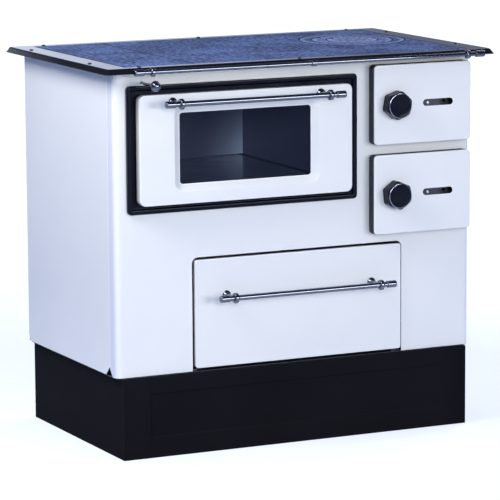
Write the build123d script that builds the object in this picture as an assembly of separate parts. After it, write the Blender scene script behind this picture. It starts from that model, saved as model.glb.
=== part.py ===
from build123d import *
import os

os.makedirs("parts", exist_ok=True)

# A wood cookstove: white enamelled casing on a black plinth, oven at the left behind a
# drop-down glazed door, firebox and ash space at the right behind two small doors,
# storage drawer below, and a hob of hot plates with a ring set in a black frame.
# Millimetres. While a piece is being made, x runs to the right, z up from the floor and
# y backwards from the outer face of the front panel. STANCE then moves every piece so
# that the origin is on the floor, in the middle of the whole object's box.

# ---- driving dimensions: whole object -------------------------------------------------
WORKTOP_H = 850.0          # floor to the top of the hot plates
BODY_W = 864.0             # casing, across the side panels
BODY_D = 500.0             # casing, front panel to back panel
SHEET = 1.5                # sheet steel of the casing
SLIDE_GAP = 0.3            # air between pieces that slide or lie beside each other
PIN_GAP = 0.05             # radial air round a pin, shaft or rod in its hole

# ---- plinth ---------------------------------------------------------------------------
PLINTH_H = 178.0
PLINTH_INSET = 12.5        # plinth sides behind the casing sides
PLINTH_PROUD = 8.0         # plinth front ahead of the front panel
PLINTH_FLANGE = 25.0       # folded foot along the floor
EMBOSS_SIDE = 62.0         # pressed rectangle: distance from the plinth's ends
EMBOSS_TOP = 36.0
EMBOSS_BOTTOM = 44.0
EMBOSS_DEPTH = 2.0
EMBOSS_SLOPE = 3.0

# ---- casing ---------------------------------------------------------------------------
PANEL_LIFT = 2.0           # bottom edge of the panels above the plinth
WRAP_R = 14.0              # rounded front corners of the front panel
WRAP_LEN = 38.0            # how far the front panel runs back along the sides
CLIP_H = 20.0              # clipped lower corners of the panels
CLIP_WRAP = 16.0
CLIP_SIDE = 21.0
CLIP_REAR = 12.0
SIDE_FLANGE = 10.0         # inward fold of the side panels

# ---- top frame and hot plates ---------------------------------------------------------
FRAME_SIDE = 30.0          # top frame beyond the casing at the sides
FRAME_FRONT = 41.0
FRAME_BACK = 16.0
FRAME_T = 3.0
FRAME_CORNER_R = 6.0
LIP_OUT = 7.0              # sloping lip: outward run and drop
LIP_DROP = 12.0
PLATE_T = 8.0
LEDGE_T = 4.0              # ledge that carries the hot plates
LEDGE_W = 12.0
LEDGE_FRONT_W = 24.0
STRIP_SIDE = 49.0          # bare strip of the frame beside the plates
STRIP_FRONT = 21.0
STRIP_BACK = 26.0
PLATE_GAP = 0.5
LEFT_PLATE_W = 161.0
RING_SIDE = 128.0          # centre of the ring set, in from the right edge of the plates
RING_REAR = 205.0          # and from their rear edge
RING_R = 120.0             # hole in the main plate, inner ring, lid
INNER_RING_R = 92.0
LID_R = 58.0
RING_STEP = 5.0
RING_STEP_T = 4.0
RING_GAP = 0.4
NOTCH_W = 15.0
NOTCH_LEN = 9.0
NOTCH_DEPTH = 3.0
NOTCH_TURN = 120.0

# ---- oven -----------------------------------------------------------------------------
OVEN_SIDE = 27.5           # casing side to the oven frame
OVEN_DROP = 42.0           # worktop to the oven frame
OVEN_DOORS_SPACE = 31.5    # oven frame to the fire door and ash door
OVEN_JAMB = 65.0           # oven frame's end to the mouth
OVEN_SILL = 43.0           # oven frame's bottom edge to the oven floor
OVEN_HEAD = 37.0           # oven ceiling to the oven frame's top edge
OVEN_REAR = 65.0           # oven's rear wall to the back panel
OVEN_WALL = 2.0
OVEN_FLANGE = 12.0
OVEN_CUT_GAP = 3.0         # casing cut-out round the oven flange
OVEN_FLOOR_GAP = 12.0      # side gap of the loose floor sheet
OVEN_FLOOR_H = 7.0
OVEN_FRAME_H = 276.0
OVEN_FRAME_T = 3.0
OVEN_FRAME_R = 9.0
BEAD_W = 10.0              # raised outer bead of the oven frame
BEAD_H = 6.0
DOOR_MARGIN_X = 21.0       # frame edge to oven door edge
DOOR_MARGIN_Z = 19.5
OVEN_DOOR_T = 19.5         # depth of the door's outer pressing
OVEN_DOOR_AIR = 3.5        # air between the pressing's edge and the frame
OVEN_DOOR_R = 18.0
OVEN_DOOR_EDGE_R = 4.0
WINDOW_SIDE = 97.0         # door's edges to the window
WINDOW_END = 42.0
WINDOW_R = 7.0
WINDOW_DEPTH = 10.0        # recess of the window
WINDOW_SLOPE = 14.0
WINDOW_LIP = 2.0
GLASS_T = 4.0
GLASS_LAP = 12.0
INNER_WINDOW_LAP = 3.0
SEAL_W = 8.0
SEAL_MARGIN = 1.0
HINGE_SIDE = 49.0          # hinge lugs in from the door's ends
HINGE_LIFT = 6.5           # hinge axis above the door's bottom edge
HINGE_OUT = 15.0           # hinge axis ahead of the front panel
HINGE_PIN_R = 3.0
LUG_T = 5.0
LUG_R = 6.5
LUG_DROP = 6.0
KNUCKLE_R = 4.9
KNUCKLE_LEN = 12.0
KNUCKLE_TAB = 17.0
LUG_AIR = 0.5              # side air between lug and knuckle
LUG_SLOT_AIR = 1.5
RIVET_R = 2.5
RIVET_HEAD = 1.2
RIVET_PITCH = 20.0

# ---- bars and handles -----------------------------------------------------------------
BAR_R = 6.0
CAP_R = 7.8
CAP_LEN = 25.5
CAP_NECK = 4.0
CAP_EDGE = 2.0
COLLAR_R = 11.5
COLLAR_W = 9.0
STEM_R = 4.5
STEM_BITE = 1.0            # a stem starts this far into the wall of its collar
BASE_R = 10.0
BASE_H = 5.0
HANDLE_COLLAR_IN = 36.5    # end of a handle to the middle of its collar
OVEN_HANDLE_SIDE = 40.5    # door's edge to the end of its handle
DRAWER_HANDLE_SIDE = 37.5
HANDLE_OUT = 46.0
OVEN_HANDLE_DROP = 16.5    # below the top edge of the oven door
DRAWER_HANDLE_DROP = 81.0
RAIL_SIDE = 42.5           # top frame's side to the end of the rail
RAIL_COLLAR_IN = 41.5
RAIL_OUT = 84.0
RAIL_DROP = 5.5            # rail axis below the worktop
RAIL_BAR_R = 5.0
RAIL_CAP_R = 7.2
RAIL_COLLAR_R = 9.6
RAIL_SLEEVE_R = 6.8        # sleeve in the middle of the rail
RAIL_SLEEVE_W = 12.0
RAIL_STEM_R = 3.5
RAIL_STEM_END = 30.0       # inner end of the stems, ahead of the front panel
SCREW_HEAD_R = 4.5
SCREW_HEAD_H = 2.2
SCREW_SHANK_R = 2.5
SCREW_CORNER = 78.0        # rear frame screws, in from the frame's sides
SCREW_FRONT = 90.0         # side frame screws, from the front panel
SCREW_REAR = 80.0          # and from the back panel
SCREW_BESIDE_STEM = 7.0    # front frame screws, beside the rail's stems

# ---- damper ---------------------------------------------------------------------------
DAMPER_SIDE = 66.0         # rod axis in from the casing side
DAMPER_DROP = 37.0         # rod axis below the worktop
DAMPER_OUT = 72.0          # centre of the ball ahead of the front panel
DAMPER_BALL_R = 11.5
DAMPER_ROD_R = 3.0
DAMPER_TRAVEL = 50.0
DAMPER_PLATE_W = 74.0
DAMPER_PLATE_UP = 17.0
DAMPER_PLATE_DOWN = 32.0
DAMPER_PLATE_T = 3.0
DAMPER_LAP = 7.0           # plate beyond its opening
BUSH_R = 5.0               # rod bush behind the front panel
BUSH_FLANGE_R = 9.0
BUSH_LEN = 8.0
DAMPER_HOLE_AIR = 0.5
GUIDE_Y = 245.0
GUIDE_T = 3.0
GUIDE_W = 24.0

# ---- smoke ways -----------------------------------------------------------------------
CHANNEL_H = 50.0           # under the oven
FLUE_DROP = 130.0          # flue axis below the worktop
FLUE_R = 59.0              # outside of the collar, for a 120 mm pipe
FLUE_WALL = 3.0
FLUE_LEN = 50.0
FLUE_FLANGE_R = 80.0
FLUE_FLANGE_T = 4.0
FLUE_SCREW_R = 71.0

# ---- firebox --------------------------------------------------------------------------
DOOR_SIDE = 15.0           # casing side to the fire door and the ash door
DOOR_W = 241.0
DOOR_H = 175.5
FIRE_DOOR_DROP = 25.5      # worktop to the fire door
DOORS_SPACE = 23.0         # fire door to ash door
DOOR_T = 30.0              # face to front panel
DOOR_AIR = 5.0
DOOR_R = 9.0
DOOR_WALL = 3.0
DOOR_FACE_T = 3.5
DOOR_EDGE_R = 2.5
MOUTH_SIDE = 35.5          # door's edges to the mouth behind it
MOUTH_END = 24.75
RIM_W = 8.0                # raised rim round each mouth
RIM_OUT = 4.7
CASTING_T = 6.0
CASTING_MARGIN = 20.0
PIVOT_IN = 9.0             # door hinge axis in from the door's right edge
PIVOT_OUT = 12.0           # and ahead of the front panel
DOOR_PIN_R = 3.0
DOOR_PIN_HALF = 60.0
DOOR_LUG_Z = 45.0          # lugs above and below the door's middle
DOOR_LUG_T = 6.0
DOOR_LUG_R = 6.0
DOOR_LUG_ROOT = 7.5
BOSS_LEN = 8.0
LINER_T = 3.0
LINER_OUT = 9.0            # back of the liner ahead of the front panel
LINER_BOSS = 7.5
LINER_CLEAR = 3.5
LINER_POST_R = 4.0
LINER_POST_IN = 9.0        # posts, in from the liner's edges
LINER_POST_UP = 23.0
ROPE_W = 6.0
SLOT_SIDE = 45.0           # air slot to the door's right edge
SLOT_W = 75.0
SLOT_H = 15.0
SLIDER_W = 49.0
SLIDER_H = 28.0
SLIDER_T = 1.4
SLIDER_TRAVEL = 45.0
SLIDER_PIN_R = 3.5
SLIDER_PIN_OUT = 4.5
SLIDER_PIN_IN = 18.0       # pin from the slider's left end
AIR_HOLE_W = 26.0
AIR_HOLE_H = 16.0
GUIDE_RIB = 3.0
VENT_R = 4.0
VENT_PITCH = 14.0
VENT_COUNT = 5
KNOB_SIDE = 49.0           # knob axis to the door's left edge
KNOB_FLATS = 57.0
KNOB_LEN = 28.5
KNOB_AIR = 1.5
KNOB_CORNER_R = 5.0
KNOB_FACE_R = 27.0
KNOB_BEVEL = 5.5
KNOB_DISH = 0.6            # depth of the dished face inside its rim
KNOB_RIM = 1.5
FIRE_KNOB_TURN = -10.7     # flat side at the right, turned by this much
ASH_KNOB_TURN = 6.3
HEXAGON_CORNER = 30.0
SHAFT_R = 4.0
SHAFT_IN_KNOB = 18.0
SHAFT_COLLAR_R = 8.0
TONGUE_LEN = 26.0
TONGUE_W = 12.0
TONGUE_T = 4.0
TONGUE_AIR = 1.5
SHAFT_HOLE_AIR = 1.0

FIREBOX_W = 254.5          # inside the firebox shell
FIREBOX_AIR = 26.0         # casing side panel to the shell
FIREBOX_REAR = 30.0        # shell to the back panel
FIREBOX_PASS = 2.0         # smoke shelf beside the oven, above the top of the oven box
BRICK_T = 22.0
BRICK_START = 16.0
BRICK_TOP = 50.0           # brick tops below the worktop
BRICK_JOINT = 1.0
BED_DROP = 130.75          # middle of the fire door to the top of the grate bed
BED_T = 10.0
BED_LEDGE = 10.0
GRATE_W = 160.0
GRATE_FRONT = 60.0
GRATE_REAR = 70.0
GRATE_LAP = 8.0
GRATE_T = 12.0
GRATE_REBATE = 5.0
GRATE_SLOT = 9.0
GRATE_BAR = 9.0
GRATE_EDGE = 12.0
PAN_AIR = 2.0
PAN_FRONT = 20.0
PAN_REAR = 30.0
PAN_H = 70.0
PAN_LUG_W = 50.0
PAN_LUG_OUT = 12.0

# ---- drawer ---------------------------------------------------------------------------
DRAWER_LEFT = 184.0        # casing's left side to the drawer front
DRAWER_RIGHT = 178.0       # drawer front to the casing's right side
DRAWER_DROP = 26.5         # ash door to the drawer front
DRAWER_LIFT = 9.0          # bottom of the drawer front above the plinth
DRAWER_PROUD = 7.0
DRAWER_FRONT_T = 19.0
DRAWER_R = 6.0
DRAWER_GAP = 5.0
DRAWER_HOLE_R = 14.0       # upper corners of the opening for the drawer
BOX_INSET = 13.0           # drawer box, in from the front's ends
BOX_LIFT = 8.0
BOX_DROP = 24.0
BOX_REAR = 80.0            # drawer box to the back panel
RUNNER_T = 2.5
RUNNER_LEDGE = 20.0
RUNNER_WEB = 20.0
RUNNER_FOOT = 24.0
RUNNER_START = 14.0
RUNNER_REAR = 31.0

# ---- places worked out from the sizes -------------------------------------------------
HALF_W = BODY_W / 2
FRONT_REACH = RAIL_OUT + RAIL_COLLAR_R
STANCE = Pos(0, (FRONT_REACH - BODY_D - FLUE_LEN) / 2, 0)

PANEL_BOTTOM = PLINTH_H + PANEL_LIFT
PLATE_BOTTOM = WORKTOP_H - PLATE_T
LEDGE_BOTTOM = PLATE_BOTTOM - LEDGE_T
SIDE_TOP = WORKTOP_H - FRAME_T
FRAME_HALF_W = HALF_W + FRAME_SIDE
FRAME_Y0 = -FRAME_FRONT
FRAME_Y1 = BODY_D + FRAME_BACK
PLATE_HALF_W = FRAME_HALF_W - STRIP_SIDE
PLATE_Y0 = FRAME_Y0 + STRIP_FRONT
PLATE_Y1 = FRAME_Y1 - STRIP_BACK
PLATE_SEAM_X = LEFT_PLATE_W - PLATE_HALF_W
RING_X = PLATE_HALF_W - RING_SIDE
RING_Y = PLATE_Y1 - RING_REAR
RAIL_HALF = FRAME_HALF_W - RAIL_SIDE
RAIL_COLLAR = RAIL_HALF - RAIL_COLLAR_IN

DOOR_X1 = HALF_W - DOOR_SIDE
DOOR_X0 = DOOR_X1 - DOOR_W
DOOR_X = (DOOR_X0 + DOOR_X1) / 2
FIRE_DOOR_Z = WORKTOP_H - FIRE_DOOR_DROP - DOOR_H / 2
ASH_DOOR_Z = FIRE_DOOR_Z - DOOR_H - DOORS_SPACE
MOUTH_W = DOOR_W - 2 * MOUTH_SIDE
MOUTH_H = DOOR_H - 2 * MOUTH_END
PIVOT_X = DOOR_X1 - PIVOT_IN
CASTING_Y = SHEET
CASTING_BACK = CASTING_Y + CASTING_T

OVEN_FRAME_X0 = OVEN_SIDE - HALF_W
OVEN_FRAME_X1 = DOOR_X0 - OVEN_DOORS_SPACE
OVEN_FRAME_W = OVEN_FRAME_X1 - OVEN_FRAME_X0
OVEN_FRAME_Z = WORKTOP_H - OVEN_DROP - OVEN_FRAME_H
OVEN_X = (OVEN_FRAME_X0 + OVEN_FRAME_X1) / 2
OVEN_MOUTH_W = OVEN_FRAME_W - 2 * OVEN_JAMB
OVEN_MOUTH_H = OVEN_FRAME_H - OVEN_SILL - OVEN_HEAD
OVEN_MOUTH_Z = OVEN_FRAME_Z + OVEN_SILL
OVEN_DEPTH = BODY_D - OVEN_REAR
OVEN_X0 = OVEN_X - OVEN_MOUTH_W / 2
OVEN_X1 = OVEN_X + OVEN_MOUTH_W / 2
OVEN_TOP = OVEN_MOUTH_Z + OVEN_MOUTH_H
OVEN_BACK = OVEN_DEPTH + OVEN_WALL
SMOKE_SHELF_Z = OVEN_TOP + OVEN_WALL + FIREBOX_PASS
ODOOR_X0 = OVEN_FRAME_X0 + DOOR_MARGIN_X
ODOOR_X1 = OVEN_FRAME_X1 - DOOR_MARGIN_X
ODOOR_Z0 = OVEN_FRAME_Z + DOOR_MARGIN_Z
ODOOR_Z1 = OVEN_FRAME_Z + OVEN_FRAME_H - DOOR_MARGIN_Z
ODOOR_BACK = -OVEN_FRAME_T - OVEN_DOOR_AIR
ODOOR_FACE = ODOOR_BACK - OVEN_DOOR_T
WINDOW_Z = (ODOOR_Z0 + ODOOR_Z1) / 2
WINDOW_W = ODOOR_X1 - ODOOR_X0 - 2 * WINDOW_SIDE
WINDOW_H = ODOOR_Z1 - ODOOR_Z0 - 2 * WINDOW_END
GLASS_Y = ODOOR_FACE + WINDOW_DEPTH + SHEET + SLIDE_GAP
INNER_Y = GLASS_Y + GLASS_T + SLIDE_GAP
HINGE_Z = ODOOR_Z0 + HINGE_LIFT
OVEN_HINGES = (ODOOR_X0 + HINGE_SIDE, ODOOR_X1 - HINGE_SIDE)

FIREBOX_RIGHT = HALF_W - SHEET - FIREBOX_AIR
FIREBOX_LEFT = FIREBOX_RIGHT - FIREBOX_W
FIREBOX_BACK = BODY_D - FIREBOX_REAR
SHELL_FLOOR = ASH_DOOR_Z - MOUTH_H / 2
BED_TOP = FIRE_DOOR_Z - BED_DROP
BED_BOTTOM = BED_TOP - BED_T
GRATE_LEN = FIREBOX_BACK - GRATE_REAR - GRATE_FRONT
PAN_LEN = FIREBOX_BACK - PAN_REAR - PAN_FRONT
DAMPER_X = DAMPER_SIDE - HALF_W
DAMPER_Z = WORKTOP_H - DAMPER_DROP
FLUE_X = OVEN_X
CHANNEL_FLOOR = OVEN_MOUTH_Z - OVEN_WALL - CHANNEL_H
FLUE_Z = WORKTOP_H - FLUE_DROP

DRAWER_X0 = DRAWER_LEFT - HALF_W
DRAWER_X1 = HALF_W - DRAWER_RIGHT
DRAWER_X = (DRAWER_X0 + DRAWER_X1) / 2
DRAWER_Z0 = PLINTH_H + DRAWER_LIFT
DRAWER_Z1 = ASH_DOOR_Z - DOOR_H / 2 - DRAWER_DROP
BOX_X0 = DRAWER_X0 + BOX_INSET
BOX_X1 = DRAWER_X1 - BOX_INSET
BOX_Z0 = DRAWER_Z0 + BOX_LIFT
BOX_Y0 = SHEET - DRAWER_PROUD
BOX_LEN = BODY_D - BOX_REAR - BOX_Y0
RUNNER_LEN = BODY_D - RUNNER_REAR - RUNNER_START
BASE_TOP = PLINTH_H + SHEET


# ---- plain shapes ---------------------------------------------------------------------
def block(x0, x1, y0, y1, z0, z1):
    """Box between two corners."""
    return Pos((x0 + x1) / 2, (y0 + y1) / 2, (z0 + z1) / 2) * Box(x1 - x0, y1 - y0, z1 - z0)


def upright_outline(width, height, radius):
    """Rectangle in the plane of the front, with rounded corners where radius is given."""
    return RectangleRounded(width, height, radius) if radius > 0 else Rectangle(width, height)


def slab(x0, x1, z0, z1, y0, y1, radius=0.0):
    """Panel parallel to the front, from y0 back to y1."""
    outline = upright_outline(x1 - x0, z1 - z0, radius)
    return Pos((x0 + x1) / 2, y1, (z0 + z1) / 2) * Rot(90, 0, 0) * extrude(outline, y1 - y0)


def border(x0, x1, z0, z1, y0, y1, width, radius):
    """Frame of one width all round, parallel to the front."""
    hole = slab(x0 + width, x1 - width, z0 + width, z1 - width, y0 - 1, y1 + 1, max(radius - width, 0))
    return slab(x0, x1, z0, z1, y0, y1, radius) - hole


def tray(x0, x1, z0, z1, y_face, y_back, radius, wall, edge_radius):
    """Pressed sheet panel: a face with its four edges folded back and rounded."""
    outer = slab(x0, x1, z0, z1, y_face, y_back, radius)
    outer = fillet(outer.faces().sort_by(Axis.Y)[0].edges(), edge_radius)
    inner = slab(x0 + wall, x1 - wall, z0 + wall, z1 - wall, y_face + wall, y_back + 1, radius - wall)
    return outer - inner


def funnel(x, z, y_wide, wide_w, wide_h, wide_r, y_deep, deep_w, deep_h, deep_r):
    """Solid that narrows from one rounded rectangle to a smaller one behind it."""
    wide = Pos(x, y_wide, z) * Rot(90, 0, 0) * RectangleRounded(wide_w, wide_h, wide_r)
    deep = Pos(x, y_deep, z) * Rot(90, 0, 0) * RectangleRounded(deep_w, deep_h, deep_r)
    return loft([wide.face(), deep.face()])


def frustum(half_w, y0, y1, grow, z_low, z_high, radius):
    """Flat block whose lower outline is larger than the upper one by grow all round."""
    middle = (y0 + y1) / 2
    low = Pos(0, middle, z_low) * RectangleRounded(2 * (half_w + grow), y1 - y0 + 2 * grow, radius)
    high = Pos(0, middle, z_high) * RectangleRounded(2 * half_w, y1 - y0, radius)
    return loft([low.face(), high.face()])


def rod_x(x0, x1, y, z, radius):
    return Pos((x0 + x1) / 2, y, z) * Rot(0, 90, 0) * Cylinder(radius, x1 - x0)


def rod_y(x, y0, y1, z, radius):
    return Pos(x, (y0 + y1) / 2, z) * Rot(90, 0, 0) * Cylinder(radius, y1 - y0)


def rod_z(x, y, z0, z1, radius):
    return Pos(x, y, (z0 + z1) / 2) * Cylinder(radius, z1 - z0)


def turned(points):
    """Solid of revolution about X, from (distance along X, radius) points."""
    return revolve(make_face(Polyline(*points, close=True)), Axis.X)


def casing_outline(inset):
    """Plan of the casing with rounded corners, drawn in by inset."""
    outline = RectangleRounded(BODY_W - 2 * inset, BODY_D - 2 * inset, WRAP_R - inset)
    return Pos(0, BODY_D / 2) * outline


def inner_floor(x0, x1, z0, z1):
    """Level sheet that fills the inside of the casing between x0 and x1."""
    sheet = Pos(0, 0, z0) * extrude(casing_outline(SHEET), z1 - z0)
    return sheet & block(x0, x1, 0, BODY_D, z0 - 1, z1 + 1)


def side_profile(points, x0, x1):
    """Flat piece that lies in a side plane, from (y, z) points, between x0 and x1."""
    outline = make_face(Polyline(*points, close=True))
    return Pos(x0, 0, 0) * extrude(Plane.YZ * outline, x1 - x0)


def screw(head_r, head_h, shank_r, shank_len):
    """Screw or rivet with a tapered head along +Z and its seat at the origin."""
    head = Pos(0, 0, head_h / 2) * Cone(head_r, head_r - head_h / 2, head_h)
    return head + Pos(0, 0, -shank_len / 2) * Cylinder(shank_r, shank_len)


def write_node(name, *pieces):
    """One STEP file for a node, each piece in it a solid of its own."""
    solids = [STANCE * solid for piece in pieces for solid in piece.solids()]
    export_step(solids[0] if len(solids) == 1 else Compound(solids), f"parts/{name}.step")


# ---- plinth ---------------------------------------------------------------------------
def plinth_front():
    half = HALF_W - PLINTH_INSET
    face = block(-half, half, -PLINTH_PROUD, SHEET - PLINTH_PROUD, 0, PLINTH_H)
    top_fold = block(-half, half, -PLINTH_PROUD, WRAP_R, PLINTH_H - SHEET, PLINTH_H)
    foot_fold = block(-half, half, -PLINTH_PROUD, PLINTH_FLANGE, 0, SHEET)
    width = 2 * (half - EMBOSS_SIDE)
    height = PLINTH_H - EMBOSS_TOP - EMBOSS_BOTTOM
    middle = (EMBOSS_BOTTOM + PLINTH_H - EMBOSS_TOP) / 2
    sizes = (width, height, EMBOSS_SLOPE + 1)
    inner = (width - 2 * EMBOSS_SLOPE, height - 2 * EMBOSS_SLOPE, 1.0)
    y_face = -PLINTH_PROUD
    bulge = funnel(0, middle, y_face + SHEET, *sizes, y_face + SHEET + EMBOSS_DEPTH, *inner)
    recess = funnel(0, middle, y_face, *sizes, y_face + EMBOSS_DEPTH, *inner)
    return face + top_fold + foot_fold + bulge - recess


def plinth_side(side):
    outer = side * (HALF_W - PLINTH_INSET)
    y0 = SHEET - PLINTH_PROUD
    inner = outer - side * SHEET
    fold = outer - side * PLINTH_FLANGE
    wall = block(min(outer, inner), max(outer, inner), y0, BODY_D, SHEET, PLINTH_H - SHEET)
    foot = block(min(outer, fold), max(outer, fold), PLINTH_FLANGE, BODY_D, 0, SHEET)
    head = block(min(outer, fold), max(outer, fold), WRAP_R, BODY_D, PLINTH_H - SHEET, PLINTH_H)
    return wall + foot + head


def plinth_back():
    half = HALF_W - PLINTH_INSET - SHEET
    wall = block(-half, half, BODY_D - SHEET, BODY_D, SHEET, PLINTH_H - SHEET)
    fold = half + SHEET - PLINTH_FLANGE
    foot = block(-fold, fold, BODY_D - PLINTH_FLANGE, BODY_D, 0, SHEET)
    return wall + foot


# ---- casing ---------------------------------------------------------------------------
def front_panel():
    height = LEDGE_BOTTOM - PANEL_BOTTOM
    shell = Pos(0, 0, PANEL_BOTTOM) * extrude(casing_outline(0) - casing_outline(SHEET), height)
    shell &= block(-HALF_W, HALF_W, 0, WRAP_LEN, PANEL_BOTTOM, LEDGE_BOTTOM)
    clip = side_profile(
        [(WRAP_LEN + 1, PANEL_BOTTOM - 1), (WRAP_LEN - CLIP_WRAP, PANEL_BOTTOM - 1),
         (WRAP_LEN + 1, PANEL_BOTTOM + CLIP_H)], -HALF_W - 1, HALF_W + 1)
    hole = OVEN_FLANGE + OVEN_CUT_GAP
    oven_cut = slab(OVEN_X0 - hole, OVEN_X1 + hole, OVEN_MOUTH_Z - hole, OVEN_TOP + hole, -1, SHEET + 1)
    drawer_cut = slab(DRAWER_X0 - DRAWER_GAP, DRAWER_X1 + DRAWER_GAP,
                      PANEL_BOTTOM - DRAWER_HOLE_R - 1, DRAWER_Z1 + DRAWER_GAP, -1, SHEET + 1, DRAWER_HOLE_R)
    shell -= clip + oven_cut + drawer_cut
    shell -= rod_y(DAMPER_X, -1, SHEET + 1, DAMPER_Z, DAMPER_ROD_R + DAMPER_HOLE_AIR)
    rim = RIM_W + 1
    for z in (FIRE_DOOR_Z, ASH_DOOR_Z):
        shell -= slab(DOOR_X - MOUTH_W / 2 - rim, DOOR_X + MOUTH_W / 2 + rim,
                      z - MOUTH_H / 2 - rim, z + MOUTH_H / 2 + rim, -1, SHEET + 1)
        for lug_z in (z - DOOR_LUG_Z, z + DOOR_LUG_Z):
            shell -= slab(DOOR_X + MOUTH_W / 2, PIVOT_X + SLIDE_GAP,
                          lug_z - DOOR_LUG_T / 2 - 1, lug_z + DOOR_LUG_T / 2 + 1, -1, SHEET + 1)
    return shell


def side_panel(side):
    y0 = WRAP_LEN + SLIDE_GAP
    low = PANEL_BOTTOM
    points = [(y0, low + CLIP_H), (y0 + CLIP_SIDE, low), (BODY_D - CLIP_REAR, low),
              (BODY_D, low + CLIP_REAR), (BODY_D, SIDE_TOP), (y0, SIDE_TOP)]
    outer = side * HALF_W
    inner = outer - side * SHEET
    fold = inner - side * SIDE_FLANGE
    wall = side_profile(points, min(outer, inner), max(outer, inner))
    fold_x = (min(inner, fold), max(inner, fold))
    fold_z = (low + CLIP_H, SIDE_TOP)
    return (wall + block(*fold_x, y0, y0 + SHEET, *fold_z)
            + block(*fold_x, BODY_D - 2 * SHEET, BODY_D - SHEET, *fold_z))


def back_panel():
    half = HALF_W - SHEET
    wall = block(-half, half, BODY_D - SHEET, BODY_D, PANEL_BOTTOM, SIDE_TOP)
    return wall - rod_y(FLUE_X, BODY_D - 5, BODY_D + 5, FLUE_Z, FLUE_R + PIN_GAP)


# ---- top frame and hot plates ---------------------------------------------------------
def frame_screw_places():
    side_x = HALF_W + FRAME_SIDE / 2
    back_y = (PLATE_Y1 + FRAME_Y1) / 2
    front_y = -RAIL_STEM_END
    corner_x = FRAME_HALF_W - SCREW_CORNER
    sides = [(sign * side_x, y) for sign in (-1, 1) for y in (SCREW_FRONT, BODY_D - SCREW_REAR)]
    back = [(x, back_y) for x in (-corner_x, 0, corner_x)]
    front = [(x + (SCREW_BESIDE_STEM if x > 0 else -SCREW_BESIDE_STEM), front_y) for x in rail_collars()]
    return sides + back + front


def rail_collars():
    return (-RAIL_COLLAR, 0.0, RAIL_COLLAR)


def top_frame():
    frame = frustum(FRAME_HALF_W, FRAME_Y0, FRAME_Y1, LIP_OUT, WORKTOP_H - LIP_DROP, WORKTOP_H,
                    FRAME_CORNER_R)
    frame -= frustum(FRAME_HALF_W - FRAME_T, FRAME_Y0 + FRAME_T, FRAME_Y1 - FRAME_T, LIP_OUT,
                     WORKTOP_H - LIP_DROP, SIDE_TOP, FRAME_CORNER_R - FRAME_T / 2)
    half = PLATE_HALF_W + PLATE_GAP
    y0 = PLATE_Y0 - PLATE_GAP
    y1 = PLATE_Y1 + PLATE_GAP
    frame += block(-half - FRAME_T, half + FRAME_T, y0 - FRAME_T, y1 + FRAME_T, LEDGE_BOTTOM, WORKTOP_H)
    frame -= block(-half, half, y0, y1, PLATE_BOTTOM, WORKTOP_H + 1)
    frame -= block(LEDGE_W - half, half - LEDGE_W, y0 + LEDGE_FRONT_W, y1 - LEDGE_W,
                   LEDGE_BOTTOM - 1, WORKTOP_H)
    for x in rail_collars():
        frame -= rod_y(x, FRAME_Y0 - LIP_OUT - 1, 1 - RAIL_STEM_END, WORKTOP_H - RAIL_DROP,
                       RAIL_STEM_R + PIN_GAP)
    for x, y in frame_screw_places():
        frame -= rod_z(x, y, SIDE_TOP - 1, WORKTOP_H + 1, SCREW_SHANK_R + PIN_GAP)
    return frame


def disc(radius, z0, z1):
    return rod_z(RING_X, RING_Y, z0, z1, radius)


def main_hot_plate():
    plate = block(PLATE_SEAM_X + PLATE_GAP / 2, PLATE_HALF_W, PLATE_Y0, PLATE_Y1, PLATE_BOTTOM, WORKTOP_H)
    step_z = WORKTOP_H - RING_STEP_T
    return plate - disc(RING_R, step_z, WORKTOP_H + 1) - disc(RING_R - RING_STEP, PLATE_BOTTOM - 1, step_z)


def left_hot_plate():
    return block(-PLATE_HALF_W, PLATE_SEAM_X - PLATE_GAP / 2, PLATE_Y0, PLATE_Y1, PLATE_BOTTOM, WORKTOP_H)


def hob_disc(outer_r):
    """Round cover that hangs by its upper half on the step of the ring round it."""
    step_z = WORKTOP_H - RING_STEP_T
    return (disc(outer_r - RING_GAP, step_z, WORKTOP_H)
            + disc(outer_r - RING_STEP - RING_GAP, PLATE_BOTTOM, step_z))


def hob_ring(outer_r, inner_r):
    step_z = WORKTOP_H - RING_STEP_T
    hole = disc(inner_r, step_z, WORKTOP_H + 1) + disc(inner_r - RING_STEP, PLATE_BOTTOM - 1, step_z)
    return hob_disc(outer_r) - hole


def lifting_notch(radius, angle):
    """Pocket for the lifting hook, open towards the rim of its ring."""
    pocket = Pos(radius - NOTCH_LEN / 2, 0, WORKTOP_H) * Box(NOTCH_LEN, NOTCH_W, 2 * NOTCH_DEPTH)
    return Pos(RING_X, RING_Y, 0) * Rot(0, 0, angle) * pocket


# ---- oven -----------------------------------------------------------------------------
def oven_box():
    w = OVEN_WALL
    outer = block(OVEN_X0 - w, OVEN_X1 + w, 0, OVEN_BACK, OVEN_MOUTH_Z - w, OVEN_TOP + w)
    f = OVEN_FLANGE
    flange = block(OVEN_X0 - f, OVEN_X1 + f, 0, w, OVEN_MOUTH_Z - f, OVEN_TOP + f)
    return outer + flange - block(OVEN_X0, OVEN_X1, -1, OVEN_DEPTH, OVEN_MOUTH_Z, OVEN_TOP)


def oven_floor():
    x0 = OVEN_X0 + OVEN_FLOOR_GAP
    x1 = OVEN_X1 - OVEN_FLOOR_GAP
    y1 = OVEN_DEPTH - OVEN_FLOOR_GAP / 2
    top = OVEN_MOUTH_Z + OVEN_FLOOR_H
    hollow = block(x0 + SHEET, x1 - SHEET, SHEET * 2, y1 - SHEET, OVEN_MOUTH_Z - 1, top - SHEET)
    return block(x0, x1, SHEET, y1, OVEN_MOUTH_Z, top) - hollow


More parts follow.
